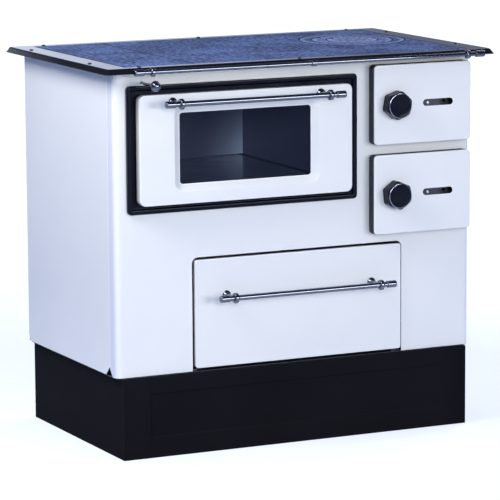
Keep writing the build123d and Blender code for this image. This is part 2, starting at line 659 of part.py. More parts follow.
def oven_rivet_places():
    x = OVEN_FRAME_W / 2 - BEAD_W - (DOOR_MARGIN_X - BEAD_W) / 2
    rows = (ODOOR_Z0 + 28, ODOOR_Z0 + 28 + RIVET_PITCH)
    return [(OVEN_X + sign * x, z) for sign in (-1, 1) for z in rows]


def oven_frame():
    x0, x1 = OVEN_FRAME_X0, OVEN_FRAME_X1
    z0 = OVEN_FRAME_Z
    z1 = z0 + OVEN_FRAME_H
    t = OVEN_FRAME_T
    plate = slab(x0, x1, z0, z1, -t, 0, OVEN_FRAME_R)
    bead = border(x0, x1, z0, z1, -t - BEAD_H, -t, BEAD_W, OVEN_FRAME_R)
    frame = plate + fillet(bead.faces().sort_by(Axis.Y)[0].edges(), BEAD_W / 4)
    frame -= slab(OVEN_X0, OVEN_X1, OVEN_MOUTH_Z, OVEN_TOP, -t - 1, 1)
    for x in OVEN_HINGES:
        eye = rod_x(x - LUG_T / 2, x + LUG_T / 2, -HINGE_OUT, HINGE_Z, LUG_R)
        root = block(x - LUG_T / 2, x + LUG_T / 2, -HINGE_OUT, -t, HINGE_Z - LUG_DROP, HINGE_Z + LUG_R)
        frame += eye + root
        frame -= rod_x(x - LUG_T, x + LUG_T, -HINGE_OUT, HINGE_Z, HINGE_PIN_R + PIN_GAP)
    for x, z in oven_rivet_places():
        frame -= rod_y(x, -t - 1, 1, z, RIVET_R / 2 + PIN_GAP)
    return frame


def oven_rivet(x, z):
    head = Rot(90, 0, 0) * screw(RIVET_R, RIVET_HEAD, RIVET_R / 2, OVEN_FRAME_T)
    return Pos(x, -OVEN_FRAME_T, z) * head


def oven_door_panel():
    panel = tray(ODOOR_X0, ODOOR_X1, ODOOR_Z0, ODOOR_Z1, ODOOR_FACE, ODOOR_BACK, OVEN_DOOR_R, SHEET,
                 OVEN_DOOR_EDGE_R)
    wide = 2 * (WINDOW_SLOPE + WINDOW_LIP)
    lip = 2 * WINDOW_LIP
    wide_size = (WINDOW_W + wide, WINDOW_H + wide, WINDOW_R + WINDOW_SLOPE)
    deep_size = (WINDOW_W + lip, WINDOW_H + lip, WINDOW_R + WINDOW_LIP)
    y_deep = ODOOR_FACE + WINDOW_DEPTH
    panel += funnel(OVEN_X, WINDOW_Z, ODOOR_FACE + SHEET, *wide_size, y_deep + SHEET, *deep_size)
    panel -= funnel(OVEN_X, WINDOW_Z, ODOOR_FACE, *wide_size, y_deep, *deep_size)
    panel -= slab(OVEN_X - WINDOW_W / 2, OVEN_X + WINDOW_W / 2, WINDOW_Z - WINDOW_H / 2,
                  WINDOW_Z + WINDOW_H / 2, ODOOR_FACE, 0, WINDOW_R)
    for x in OVEN_HINGES:
        half = LUG_T / 2 + LUG_SLOT_AIR
        panel -= block(x - half, x + half, -HINGE_OUT - LUG_R - LUG_SLOT_AIR, 0,
                       ODOOR_Z0 - 1, ODOOR_Z0 + SHEET + 1)
    return panel


def oven_door_glass():
    half_w = WINDOW_W / 2 + GLASS_LAP
    half_h = WINDOW_H / 2 + GLASS_LAP
    return slab(OVEN_X - half_w, OVEN_X + half_w, WINDOW_Z - half_h, WINDOW_Z + half_h,
                GLASS_Y, GLASS_Y + GLASS_T, WINDOW_R)


def oven_door_inner():
    gap = SHEET + SLIDE_GAP
    sheet = slab(ODOOR_X0 + gap, ODOOR_X1 - gap, ODOOR_Z0 + gap, ODOOR_Z1 - gap, INNER_Y, INNER_Y + SHEET,
                 OVEN_DOOR_R - gap)
    half_w = WINDOW_W / 2 + INNER_WINDOW_LAP
    half_h = WINDOW_H / 2 + INNER_WINDOW_LAP
    sheet -= slab(OVEN_X - half_w, OVEN_X + half_w, WINDOW_Z - half_h, WINDOW_Z + half_h,
                  INNER_Y - 1, INNER_Y + SHEET + 1, WINDOW_R + INNER_WINDOW_LAP)
    for x in OVEN_HINGES:
        half = LUG_T / 2 + LUG_SLOT_AIR
        sheet -= block(x - half, x + half, INNER_Y - 1, INNER_Y + SHEET + 1, ODOOR_Z0,
                       HINGE_Z + LUG_R + LUG_SLOT_AIR)
    return sheet


def oven_door_seal():
    m = SEAL_MARGIN + SEAL_W
    return border(OVEN_X0 - m, OVEN_X1 + m, OVEN_MOUTH_Z - m, OVEN_TOP + m, INNER_Y + SHEET,
                  -OVEN_FRAME_T - SLIDE_GAP, SEAL_W, SEAL_W)


def oven_door_knuckles():
    pieces = []
    for x in OVEN_HINGES:
        for sign in (-1, 1):
            near = x + sign * (LUG_T / 2 + LUG_AIR)
            far = near + sign * KNUCKLE_LEN
            x0, x1 = min(near, far), max(near, far)
            knuckle = rod_x(x0, x1, -HINGE_OUT, HINGE_Z, KNUCKLE_R)
            knuckle += block(x0, x1, -HINGE_OUT, INNER_Y, HINGE_Z, HINGE_Z + KNUCKLE_TAB)
            knuckle &= block(x0, x1, -HINGE_OUT - KNUCKLE_R - 1, INNER_Y, ODOOR_Z0, ODOOR_Z1)
            pieces.append(knuckle - rod_x(x0 - 1, x1 + 1, -HINGE_OUT, HINGE_Z, HINGE_PIN_R + PIN_GAP))
    return pieces


def oven_hinge_pins():
    half = LUG_T / 2 + LUG_AIR + KNUCKLE_LEN
    return [rod_x(x - half, x + half, -HINGE_OUT, HINGE_Z, HINGE_PIN_R) for x in OVEN_HINGES]


# ---- bars and handles -----------------------------------------------------------------
def end_cap(sign, bar_r, cap_r):
    """Turned end piece of a bar, with a neck next to the collar, growing along sign * X."""
    points = [(0, 0), (0, bar_r), (CAP_NECK, bar_r), (CAP_NECK, cap_r), (CAP_LEN - CAP_EDGE, cap_r),
              (CAP_LEN, cap_r - CAP_EDGE), (CAP_LEN, 0)]
    cap = turned(points)
    return cap if sign > 0 else Rot(0, 0, 180) * cap


def collar(radius, width, bar_r):
    """Bevelled ring that a bar passes through, about X."""
    ring = Rot(0, 90, 0) * Cylinder(radius, width)
    ring = chamfer(ring.edges().filter_by(GeomType.CIRCLE), (radius - bar_r) / 2)
    return ring - rod_x(-width, width, 0, 0, bar_r + PIN_GAP)


def handle_bracket():
    """Collar on a stem, with a domed foot that stands on the panel HANDLE_OUT behind it."""
    stem = rod_y(0, BAR_R + PIN_GAP + STEM_BITE, HANDLE_OUT, 0, STEM_R)
    dome = [(HANDLE_OUT, 0), (HANDLE_OUT, BASE_R), (HANDLE_OUT - BASE_H / 2, BASE_R - BASE_H / 5),
            (HANDLE_OUT - BASE_H, STEM_R + BASE_H / 5), (HANDLE_OUT - BASE_H, 0)]
    return collar(COLLAR_R, COLLAR_W, BAR_R) + stem + Rot(0, 0, 90) * turned(dome)


def pull_handle(x0, x1, y_face, z):
    """Bar and fittings of a pull handle from x0 to x1, whose feet stand on the face at y_face."""
    place = Pos((x0 + x1) / 2, y_face - HANDLE_OUT, z)
    bar_half = (x1 - x0) / 2 - CAP_LEN
    collar_x = (x1 - x0) / 2 - HANDLE_COLLAR_IN
    bar = place * rod_x(-bar_half, bar_half, 0, 0, BAR_R)
    fittings = [place * Pos(sign * collar_x, 0, 0) * handle_bracket() for sign in (-1, 1)]
    fittings += [place * Pos(sign * bar_half, 0, 0) * end_cap(sign, BAR_R, CAP_R) for sign in (-1, 1)]
    return bar, fittings


def front_rail():
    """Rail along the front of the hob, on stems that enter the lip of the top frame."""
    place = Pos(0, -RAIL_OUT, WORKTOP_H - RAIL_DROP)
    bar_half = RAIL_HALF - CAP_LEN
    bar = place * rod_x(-bar_half, bar_half, 0, 0, RAIL_BAR_R)
    stem = rod_y(0, RAIL_BAR_R + PIN_GAP + STEM_BITE, RAIL_OUT - RAIL_STEM_END, 0, RAIL_STEM_R)
    ring = collar(RAIL_COLLAR_R, COLLAR_W, RAIL_BAR_R) + stem
    sleeve = collar(RAIL_SLEEVE_R, RAIL_SLEEVE_W, RAIL_BAR_R) + stem
    fittings = [place * Pos(x, 0, 0) * (ring if x else sleeve) for x in rail_collars()]
    fittings += [place * Pos(sign * bar_half, 0, 0) * end_cap(sign, RAIL_BAR_R, RAIL_CAP_R)
                 for sign in (-1, 1)]
    return bar, fittings


def case_screws():
    screws = [Pos(x, y, WORKTOP_H) * screw(SCREW_HEAD_R, SCREW_HEAD_H, SCREW_SHANK_R, FRAME_T)
              for x, y in frame_screw_places()]
    back_screw = Rot(-90, 0, 0) * screw(SCREW_HEAD_R, SCREW_HEAD_H, SCREW_SHANK_R, FLUE_FLANGE_T)
    for turn in (45, 135, 225, 315):
        around = Rot(0, turn, 0) * Pos(FLUE_SCREW_R, 0, 0)
        screws.append(Pos(FLUE_X, BODY_D + FLUE_FLANGE_T, FLUE_Z) * around * back_screw)
    return screws


# ---- damper ---------------------------------------------------------------------------
def damper_rod():
    plate_front = OVEN_BACK - SLIDE_GAP - DAMPER_TRAVEL - DAMPER_PLATE_T
    rod = rod_y(DAMPER_X, DAMPER_BALL_R - DAMPER_OUT, plate_front, DAMPER_Z, DAMPER_ROD_R)
    plate = block(DAMPER_X - DAMPER_PLATE_W / 2, DAMPER_X + DAMPER_PLATE_W / 2,
                  plate_front, plate_front + DAMPER_PLATE_T,
                  DAMPER_Z - DAMPER_PLATE_DOWN, DAMPER_Z + DAMPER_PLATE_UP)
    ball = Pos(DAMPER_X, -DAMPER_OUT, DAMPER_Z) * Sphere(DAMPER_BALL_R)
    ball -= block(DAMPER_X - DAMPER_BALL_R, DAMPER_X + DAMPER_BALL_R, DAMPER_BALL_R - 1 - DAMPER_OUT,
                  DAMPER_BALL_R - DAMPER_OUT, DAMPER_Z - DAMPER_BALL_R, DAMPER_Z + DAMPER_BALL_R)
    neck = rod_y(DAMPER_X, DAMPER_BALL_R - 1 - DAMPER_OUT, DAMPER_BALL_R - DAMPER_OUT, DAMPER_Z,
                 DAMPER_ROD_R)
    return rod + plate + neck, ball


def damper_guides():
    hole_r = DAMPER_ROD_R + PIN_GAP
    bush = rod_y(DAMPER_X, SHEET, SHEET + BUSH_LEN, DAMPER_Z, BUSH_R)
    bush += rod_y(DAMPER_X, SHEET, 2 * SHEET, DAMPER_Z, BUSH_FLANGE_R)
    bush -= rod_y(DAMPER_X, 0, SHEET + BUSH_LEN + 1, DAMPER_Z, hole_r)
    oven_top = OVEN_TOP + OVEN_WALL
    foot_x = OVEN_X0 + GUIDE_W
    arm = block(DAMPER_X - GUIDE_W / 2, foot_x, GUIDE_Y, GUIDE_Y + GUIDE_T,
                oven_top + GUIDE_T, DAMPER_Z + GUIDE_W / 2)
    foot = block(OVEN_X0, foot_x, GUIDE_Y - GUIDE_W / 2, GUIDE_Y + GUIDE_T, oven_top, oven_top + GUIDE_T)
    guide = arm + foot - rod_y(DAMPER_X, GUIDE_Y - 1, GUIDE_Y + GUIDE_T + 1, DAMPER_Z, hole_r)
    return [bush, guide]


# ---- smoke ways -----------------------------------------------------------------------
def channel_floor():
    floor = inner_floor(-HALF_W, FIREBOX_LEFT - SHEET, CHANNEL_FLOOR - SHEET, CHANNEL_FLOOR)
    fold_x = SHEET + SIDE_FLANGE + SLIDE_GAP - HALF_W
    for y0, y1 in ((WRAP_LEN, WRAP_LEN + 2 * SHEET), (BODY_D - 3 * SHEET, BODY_D)):
        floor -= block(-HALF_W, fold_x, y0, y1, CHANNEL_FLOOR - 2 * SHEET, CHANNEL_FLOOR + 1)
    return floor


def rear_partition():
    wall = block(SHEET - HALF_W, FIREBOX_LEFT - SHEET, OVEN_BACK, OVEN_BACK + SHEET,
                 CHANNEL_FLOOR + CHANNEL_H, LEDGE_BOTTOM)
    half = DAMPER_PLATE_W / 2 - DAMPER_LAP
    return wall - block(DAMPER_X - half, DAMPER_X + half, OVEN_BACK - 1, OVEN_BACK + SHEET + 1,
                        DAMPER_Z - DAMPER_PLATE_DOWN + DAMPER_LAP, DAMPER_Z + DAMPER_PLATE_UP - DAMPER_LAP)


def flue_collar():
    tube = rod_y(FLUE_X, BODY_D - SHEET, BODY_D + FLUE_LEN, FLUE_Z, FLUE_R)
    flange = rod_y(FLUE_X, BODY_D, BODY_D + FLUE_FLANGE_T, FLUE_Z, FLUE_FLANGE_R)
    collar_piece = tube + flange
    collar_piece -= rod_y(FLUE_X, 0, BODY_D + FLUE_LEN + 1, FLUE_Z, FLUE_R - FLUE_WALL)
    for turn in (45, 135, 225, 315):
        around = Pos(FLUE_X, 0, FLUE_Z) * Rot(0, turn, 0) * Pos(FLUE_SCREW_R, 0, 0)
        collar_piece -= around * rod_y(0, BODY_D - 1, BODY_D + FLUE_FLANGE_T + 1, 0, SCREW_SHANK_R + PIN_GAP)
    return collar_piece


# ---- firebox --------------------------------------------------------------------------
def firebox_front():
    m = CASTING_MARGIN
    plate = slab(DOOR_X - MOUTH_W / 2 - m, PIVOT_X - SLIDE_GAP, ASH_DOOR_Z - MOUTH_H / 2 - m,
                 FIRE_DOOR_Z + MOUTH_H / 2 + m, CASTING_Y, CASTING_BACK)
    for z in (FIRE_DOOR_Z, ASH_DOOR_Z):
        x0, x1 = DOOR_X - MOUTH_W / 2, DOOR_X + MOUTH_W / 2
        z0, z1 = z - MOUTH_H / 2, z + MOUTH_H / 2
        plate += slab(x0 - RIM_W, x1 + RIM_W, z0 - RIM_W, z1 + RIM_W, -RIM_OUT, CASTING_Y)
        plate -= slab(x0, x1, z0, z1, -RIM_OUT - 1, CASTING_BACK + 1)
        for lug_z in (z - DOOR_LUG_Z, z + DOOR_LUG_Z):
            low, high = lug_z - DOOR_LUG_T / 2, lug_z + DOOR_LUG_T / 2
            root_x1 = PIVOT_X - 1
            plate += block(root_x1 - DOOR_LUG_ROOT, root_x1, -PIVOT_OUT, CASTING_Y, low, high)
            plate += rod_z(PIVOT_X, -PIVOT_OUT, low, high, DOOR_LUG_R)
            plate -= rod_z(PIVOT_X, -PIVOT_OUT, low - 1, high + 1, DOOR_PIN_R + PIN_GAP)
    return plate


def firebox_shell():
    x0, x1 = FIREBOX_LEFT - SHEET, FIREBOX_RIGHT + SHEET
    y0, y1 = CASTING_BACK, FIREBOX_BACK + SHEET
    low = SHELL_FLOOR - SHEET
    pass_z = SMOKE_SHELF_Z
    shell = block(x0, x1, y0, y1, low, LEDGE_BOTTOM)
    shell -= block(FIREBOX_LEFT, FIREBOX_RIGHT, y0 - 1, FIREBOX_BACK, SHELL_FLOOR, LEDGE_BOTTOM + 1)
    shell -= block(x0 - 1, FIREBOX_LEFT + 1, y0 - 1, OVEN_BACK, pass_z, LEDGE_BOTTOM + 1)
    shell += block(OVEN_X1 + OVEN_WALL + SLIDE_GAP, x0, y0, OVEN_BACK - SLIDE_GAP, pass_z - SHEET, pass_z)
    for x in (FIREBOX_LEFT, FIREBOX_RIGHT - BED_LEDGE):
        shell += block(x, x + BED_LEDGE, BRICK_START, FIREBOX_BACK, BED_BOTTOM - SHEET * 2, BED_BOTTOM)
    return shell


def grate_outline(grow):
    """Plan corners of the grate, larger by grow all round."""
    return (DOOR_X - GRATE_W / 2 - grow, DOOR_X + GRATE_W / 2 + grow,
            GRATE_FRONT - grow, GRATE_FRONT + GRATE_LEN + grow)


def grate_bed():
    bed = block(FIREBOX_LEFT + SLIDE_GAP, FIREBOX_RIGHT - SLIDE_GAP, BRICK_START, FIREBOX_BACK - SLIDE_GAP,
                BED_BOTTOM, BED_TOP)
    bed -= block(*grate_outline(SLIDE_GAP), BED_TOP - GRATE_REBATE, BED_TOP + 1)
    return bed - block(*grate_outline(-GRATE_LAP), BED_BOTTOM - 1, BED_TOP)


def fire_grate():
    """Cast grate: a rim in the rebate of the bed, with two rows of bars between slots."""
    x0, x1, y0, y1 = grate_outline(0)
    seat = BED_TOP - GRATE_REBATE
    grate = block(x0, x1, y0, y1, seat, BED_TOP)
    inner = grate_outline(-GRATE_LAP - SLIDE_GAP)
    grate += block(*inner, BED_TOP - GRATE_T, seat)
    pitch = GRATE_SLOT + GRATE_BAR
    count = int((GRATE_W - 2 * GRATE_EDGE + GRATE_BAR) // pitch)
    start = DOOR_X - (count * pitch - GRATE_BAR) / 2
    slot_len = (GRATE_LEN - 3 * GRATE_EDGE) / 2
    for i in range(count):
        for y in (y0 + GRATE_EDGE, y0 + 2 * GRATE_EDGE + slot_len):
            x = start + i * pitch
            grate -= block(x, x + GRATE_SLOT, y, y + slot_len, BED_TOP - GRATE_T - 1, BED_TOP + 1)
    return grate


def fire_bricks():
    top = WORKTOP_H - BRICK_TOP
    left_top = SMOKE_SHELF_Z - SHEET
    y1 = FIREBOX_BACK - SLIDE_GAP
    half = (y1 - BRICK_START - BRICK_JOINT) / 2
    bricks = []
    for y in (BRICK_START, BRICK_START + half + BRICK_JOINT):
        left = FIREBOX_LEFT + SLIDE_GAP
        right = FIREBOX_RIGHT - SLIDE_GAP
        bricks.append(block(left, left + BRICK_T, y, y + half, BED_TOP, left_top))
        bricks.append(block(right - BRICK_T, right, y, y + half, BED_TOP, top))
    rear_x0 = FIREBOX_LEFT + 2 * SLIDE_GAP + BRICK_T
    rear_x1 = FIREBOX_RIGHT - 2 * SLIDE_GAP - BRICK_T
    bricks.append(block(rear_x0, rear_x1, y1 - BRICK_T, y1, BED_TOP, top))
    return [chamfer(brick.edges().filter_by(Axis.Z), 2) for brick in bricks]


def ash_pan():
    x0 = DOOR_X - MOUTH_W / 2 + PAN_AIR
    x1 = DOOR_X + MOUTH_W / 2 - PAN_AIR
    y0, y1 = PAN_FRONT, PAN_FRONT + PAN_LEN
    z0 = SHELL_FLOOR + SLIDE_GAP
    pan = block(x0, x1, y0, y1, z0, z0 + PAN_H)
    pan -= block(x0 + SHEET, x1 - SHEET, y0 + SHEET, y1 - SHEET, z0 + SHEET, z0 + PAN_H + 1)
    lug = block(DOOR_X - PAN_LUG_W / 2, DOOR_X + PAN_LUG_W / 2, y0 - PAN_LUG_OUT, y0,
                z0 + PAN_H - SHEET, z0 + PAN_H)
    grip = block(DOOR_X - PAN_LUG_W / 2, DOOR_X + PAN_LUG_W / 2, y0 - PAN_LUG_OUT,
                 y0 - PAN_LUG_OUT + SHEET, z0 + PAN_H - PAN_LUG_OUT, z0 + PAN_H)
    return pan + lug + grip


# ---- fire door and ash door -----------------------------------------------------------
DOOR_FACE_Y = -DOOR_T
DOOR_SKIN_Y = DOOR_FACE_Y + DOOR_FACE_T
LINER_HALF_W = MOUTH_W / 2 + RIM_W
LINER_HALF_H = MOUTH_H / 2 + RIM_W
KNOB_SHAFT_X = DOOR_X0 + KNOB_SIDE
SLOT_CENTRE_X = DOOR_X1 - SLOT_SIDE - SLOT_W / 2
SLIDER_X0 = SLOT_CENTRE_X - SLOT_W / 2 - (SLIDER_PIN_IN - SLIDER_PIN_R - SLOT_H / 2)
AIR_HOLE_X1 = SLOT_CENTRE_X + SLOT_W / 2
SLIDER_Y0 = DOOR_FACE_Y + SHEET + SLIDE_GAP


def door_face(z):
    face = tray(DOOR_X0, DOOR_X1, z - DOOR_H / 2, z + DOOR_H / 2, DOOR_FACE_Y, DOOR_SKIN_Y, DOOR_R, SHEET,
                DOOR_EDGE_R)
    face -= slab(SLOT_CENTRE_X - SLOT_W / 2, SLOT_CENTRE_X + SLOT_W / 2, z - SLOT_H / 2, z + SLOT_H / 2,
                 DOOR_FACE_Y - 1, DOOR_SKIN_Y, SLOT_H / 2 - 0.01)
    return face - rod_y(KNOB_SHAFT_X, DOOR_FACE_Y - 1, DOOR_SKIN_Y, z, SHAFT_R + SHAFT_HOLE_AIR)


def door_casting(z):
    z0, z1 = z - DOOR_H / 2, z + DOOR_H / 2
    w = DOOR_WALL
    casting = slab(DOOR_X0, DOOR_X1, z0, z1, DOOR_SKIN_Y, -DOOR_AIR, DOOR_R)
    casting -= slab(DOOR_X0 + w, DOOR_X1 - w, z0 + w, z1 - w, DOOR_SKIN_Y + w, 0, DOOR_R - w)
    # guide ribs of the air slider, inside the face's fold
    rib_z = SLIDER_H / 2 + SLIDE_GAP
    rib_x1 = SLIDER_X0 + SLIDER_W + SLIDER_TRAVEL + GUIDE_RIB
    for low in (z - rib_z - GUIDE_RIB, z + rib_z):
        casting += block(SLIDER_X0, rib_x1, SLIDER_Y0, DOOR_SKIN_Y, low, low + GUIDE_RIB)
    casting -= slab(AIR_HOLE_X1 - AIR_HOLE_W, AIR_HOLE_X1, z - AIR_HOLE_H / 2, z + AIR_HOLE_H / 2,
                    DOOR_SKIN_Y - 1, DOOR_SKIN_Y + w + 1)
    # posts that carry the liner
    liner_y = -LINER_OUT - LINER_T
    post_x = LINER_HALF_W - LINER_POST_IN
    post_z = LINER_HALF_H - LINER_POST_UP
    for dx in (-post_x, post_x):
        for dz in (-post_z, post_z):
            casting += rod_y(DOOR_X + dx, DOOR_SKIN_Y + w, liner_y, z + dz, LINER_POST_R)
    casting -= rod_y(KNOB_SHAFT_X, DOOR_SKIN_Y - 1, DOOR_SKIN_Y + w + 1, z, SHAFT_R + PIN_GAP)
    # hinge bosses above and below each lug, and slots that let the lugs pass
    for lug_z in (z - DOOR_LUG_Z, z + DOOR_LUG_Z):
        for sign in (-1, 1):
            near = lug_z + sign * (DOOR_LUG_T / 2 + LUG_AIR)
            far = near + sign * BOSS_LEN
            low, high = min(near, far), max(near, far)
            boss = rod_z(PIVOT_X, -PIVOT_OUT, low, high, DOOR_LUG_R)
            boss += block(PIVOT_X, DOOR_X1 - w, -PIVOT_OUT - DOOR_LUG_R, DOOR_LUG_R - PIVOT_OUT, low, high)
            casting += boss - rod_z(PIVOT_X, -PIVOT_OUT, low - 1, high + 1, DOOR_PIN_R + PIN_GAP)
        casting -= block(DOOR_X1 - w - 1, DOOR_X1 + 1, -PIVOT_OUT - DOOR_LUG_R + 1, 0,
                         lug_z - DOOR_LUG_T / 2 - 1, lug_z + DOOR_LUG_T / 2 + 1)
    return casting


def door_liner(z):
    half_w, half_h = LINER_HALF_W, LINER_HALF_H
    liner = slab(DOOR_X - half_w, DOOR_X + half_w, z - half_h, z + half_h, -LINER_OUT - LINER_T, -LINER_OUT)
    boss_w = MOUTH_W / 2 - LINER_CLEAR
    boss_h = MOUTH_H / 2 - LINER_CLEAR
    liner += slab(DOOR_X - boss_w, DOOR_X + boss_w, z - boss_h, z + boss_h, -LINER_OUT,
                  LINER_BOSS - LINER_OUT, LINER_CLEAR)
    depth = (-LINER_OUT - LINER_T - 1, LINER_BOSS - LINER_OUT + 1)
    first = AIR_HOLE_X1 - AIR_HOLE_W / 2 - VENT_PITCH * (VENT_COUNT - 1) / 2
    for i in range(VENT_COUNT):
        liner -= rod_y(first + i * VENT_PITCH, *depth, z, VENT_R)
    return liner - rod_y(KNOB_SHAFT_X, *depth, z, SHAFT_R + SHAFT_HOLE_AIR)


def door_rope(z):
    half_w, half_h = LINER_HALF_W, LINER_HALF_H
    return border(DOOR_X - half_w, DOOR_X + half_w, z - half_h, z + half_h, -LINER_OUT,
                  -RIM_OUT - SLIDE_GAP, ROPE_W, 0)


def air_slider(z):
    plate = slab(SLIDER_X0, SLIDER_X0 + SLIDER_W, z - SLIDER_H / 2, z + SLIDER_H / 2, SLIDER_Y0,
                 SLIDER_Y0 + SLIDER_T)
    pin = rod_y(SLIDER_X0 + SLIDER_PIN_IN, SLIDER_Y0 - SLIDER_PIN_OUT, SLIDER_Y0, z, SLIDER_PIN_R)
    return plate + chamfer(pin.faces().sort_by(Axis.Y)[0].edges(), 1)


def door_knob(z, turn):
    """Six-sided knob with rounded corners, bevelled down to a round, slightly dished face."""
    y_back = DOOR_FACE_Y - KNOB_AIR
    y_front = y_back - KNOB_LEN
    outline = Rot(0, 0, turn + HEXAGON_CORNER) * RegularPolygon(KNOB_FLATS / 2, 6, major_radius=False)
    prism = extrude(outline, KNOB_LEN)
    prism = fillet(prism.edges().filter_by(Axis.Z), KNOB_CORNER_R)
    turned_r = KNOB_FACE_R + KNOB_BEVEL * 2
    cone = Pos(0, 0, KNOB_LEN - KNOB_BEVEL) * extrude(Circle(turned_r), KNOB_BEVEL)
    cone = chamfer(cone.faces().sort_by(Axis.Z)[-1].edges(), KNOB_BEVEL * 0.98, KNOB_BEVEL * 2)
    body = prism & (cone + extrude(Circle(turned_r), KNOB_LEN - KNOB_BEVEL))
    dish_r = KNOB_FACE_R - KNOB_RIM
    dish = Pos(0, 0, KNOB_LEN - KNOB_DISH / 2) * Cone(dish_r - KNOB_DISH, dish_r, KNOB_DISH)
    knob = Pos(KNOB_SHAFT_X, y_back, z) * Rot(90, 0, 0) * (body - dish)
    return knob - rod_y(KNOB_SHAFT_X, y_front + KNOB_LEN - SHAFT_IN_KNOB, y_back + 1, z, SHAFT_R + PIN_GAP)


def door_latch(z):
    """Shaft of the knob, with the tongue that swings behind the casting."""
    y_knob = DOOR_FACE_Y - KNOB_AIR
    tongue_y = CASTING_BACK + TONGUE_AIR
    shaft = rod_y(KNOB_SHAFT_X, y_knob - SHAFT_IN_KNOB, tongue_y + TONGUE_T, z, SHAFT_R)
    shaft += rod_y(KNOB_SHAFT_X, y_knob, DOOR_FACE_Y, z, SHAFT_COLLAR_R)
    tongue = block(KNOB_SHAFT_X - TONGUE_W / 2, KNOB_SHAFT_X + TONGUE_W / 2, tongue_y, tongue_y + TONGUE_T,
                   z - TONGUE_W / 2, z + TONGUE_LEN)
    return shaft + fillet(tongue.edges().filter_by(Axis.Y), TONGUE_W / 2 - 1)


def door_pins():
    return [rod_z(PIVOT_X, -PIVOT_OUT, z - DOOR_PIN_HALF, z + DOOR_PIN_HALF, DOOR_PIN_R)
            for z in (FIRE_DOOR_Z, ASH_DOOR_Z)]


# ---- drawer ---------------------------------------------------------------------------
def drawer_front():
    return tray(DRAWER_X0, DRAWER_X1, DRAWER_Z0, DRAWER_Z1, -DRAWER_PROUD, DRAWER_FRONT_T - DRAWER_PROUD,
                DRAWER_R, SHEET, SHEET * 1.5)


def drawer_box():
    y0 = BOX_Y0
    y1 = y0 + BOX_LEN
    top = DRAWER_Z1 - BOX_DROP
    box = block(BOX_X0, BOX_X1, y0, y1, BOX_Z0, top)
    return box - block(BOX_X0 + SHEET, BOX_X1 - SHEET, y0 + SHEET, y1 - SHEET, BOX_Z0 + SHEET, top + 1)


def drawer_runner(side):
    """Folded runner: foot on the base plate, web beside the box, ledge under it."""
    edge = BOX_X0 - SLIDE_GAP if side < 0 else BOX_X1 + SLIDE_GAP
    out = side * RUNNER_T
    ledge_top = BOX_Z0 - SLIDE_GAP
    web = block(min(edge, edge + out), max(edge, edge + out), RUNNER_START, RUNNER_START + RUNNER_LEN,
                BASE_TOP, BOX_Z0 + RUNNER_WEB)
    inner = edge - side * RUNNER_LEDGE
    ledge = block(min(inner, edge + out), max(inner, edge + out), RUNNER_START, RUNNER_START + RUNNER_LEN,
                  ledge_top - RUNNER_T, ledge_top)
    outer = edge + side * RUNNER_FOOT
    foot = block(min(outer, edge), max(outer, edge), RUNNER_START, RUNNER_START + RUNNER_LEN,
                 BASE_TOP, BASE_TOP + RUNNER_T)
    return web + ledge + foot


# ---- all nodes ------------------------------------------------------------------------
write_node("plinth_front", plinth_front())
write_node("plinth_side_left", plinth_side(-1))
write_node("plinth_side_right", plinth_side(1))
write_node("plinth_back", plinth_back())
write_node("base_plate", inner_floor(-HALF_W, HALF_W, PLINTH_H, BASE_TOP))
write_node("front_panel", front_panel())
write_node("side_panel_left", side_panel(-1))
write_node("side_panel_right", side_panel(1))
write_node("back_panel", back_panel())
write_node("top_frame", top_frame())
write_node("case_screws", *case_screws())

write_node("main_hot_plate", main_hot_plate())
write_node("left_hot_plate", left_hot_plate())
write_node("hob_ring_outer", hob_ring(RING_R, INNER_RING_R))
inner_ring = hob_ring(INNER_RING_R, LID_R)
for notch_angle in (NOTCH_TURN, NOTCH_TURN - 180):
    inner_ring -= lifting_notch(INNER_RING_R, notch_angle)
write_node("hob_ring_inner", inner_ring)
write_node("hob_lid", hob_disc(LID_R) - lifting_notch(LID_R, NOTCH_TURN))

rail_bar, rail_fittings = front_rail()
write_node("rail_bar", rail_bar)
write_node("rail_fittings", *rail_fittings)

write_node("oven_frame", oven_frame())
write_node("oven_rivets", *[oven_rivet(x, z) for x, z in oven_rivet_places()])
write_node("oven_box", oven_box())
write_node("oven_floor", oven_floor())
write_node("oven_door_panel", oven_door_panel())
write_node("oven_door_glass", oven_door_glass())
write_node("oven_door_inner", oven_door_inner())
write_node("oven_door_seal", oven_door_seal())
write_node("oven_door_knuckles", *oven_door_knuckles())
write_node("hinge_pins", *oven_hinge_pins(), *door_pins())
oven_bar, oven_fittings = pull_handle(ODOOR_X0 + OVEN_HANDLE_SIDE, ODOOR_X1 - OVEN_HANDLE_SIDE,
                                      ODOOR_FACE, ODOOR_Z1 - OVEN_HANDLE_DROP)
write_node("oven_handle_bar", oven_bar)
write_node("oven_handle_fittings", *oven_fittings)

rod, ball = damper_rod()
write_node("damper_rod", rod, ball)
write_node("damper_guides", *damper_guides())
write_node("channel_floor", channel_floor())
write_node("rear_partition", rear_partition())
write_node("flue_collar", flue_collar())

write_node("firebox_front", firebox_front())
write_node("firebox_shell", firebox_shell())
write_node("grate_bed", grate_bed())
write_node("fire_grate", fire_grate())
write_node("fire_bricks", *fire_bricks())
write_node("ash_pan", ash_pan())

for door, door_z, knob_turn in (("fire", FIRE_DOOR_Z, FIRE_KNOB_TURN), ("ash", ASH_DOOR_Z, ASH_KNOB_TURN)):
    write_node(f"{door}_door_face", door_face(door_z))
    write_node(f"{door}_door_casting", door_casting(door_z))
    write_node(f"{door}_door_liner", door_liner(door_z))
    write_node(f"{door}_door_rope", door_rope(door_z))
    write_node(f"{door}_air_slider", air_slider(door_z))
    write_node(f"{door}_door_knob", door_knob(door_z, knob_turn))
    write_node(f"{door}_door_latch", door_latch(door_z))

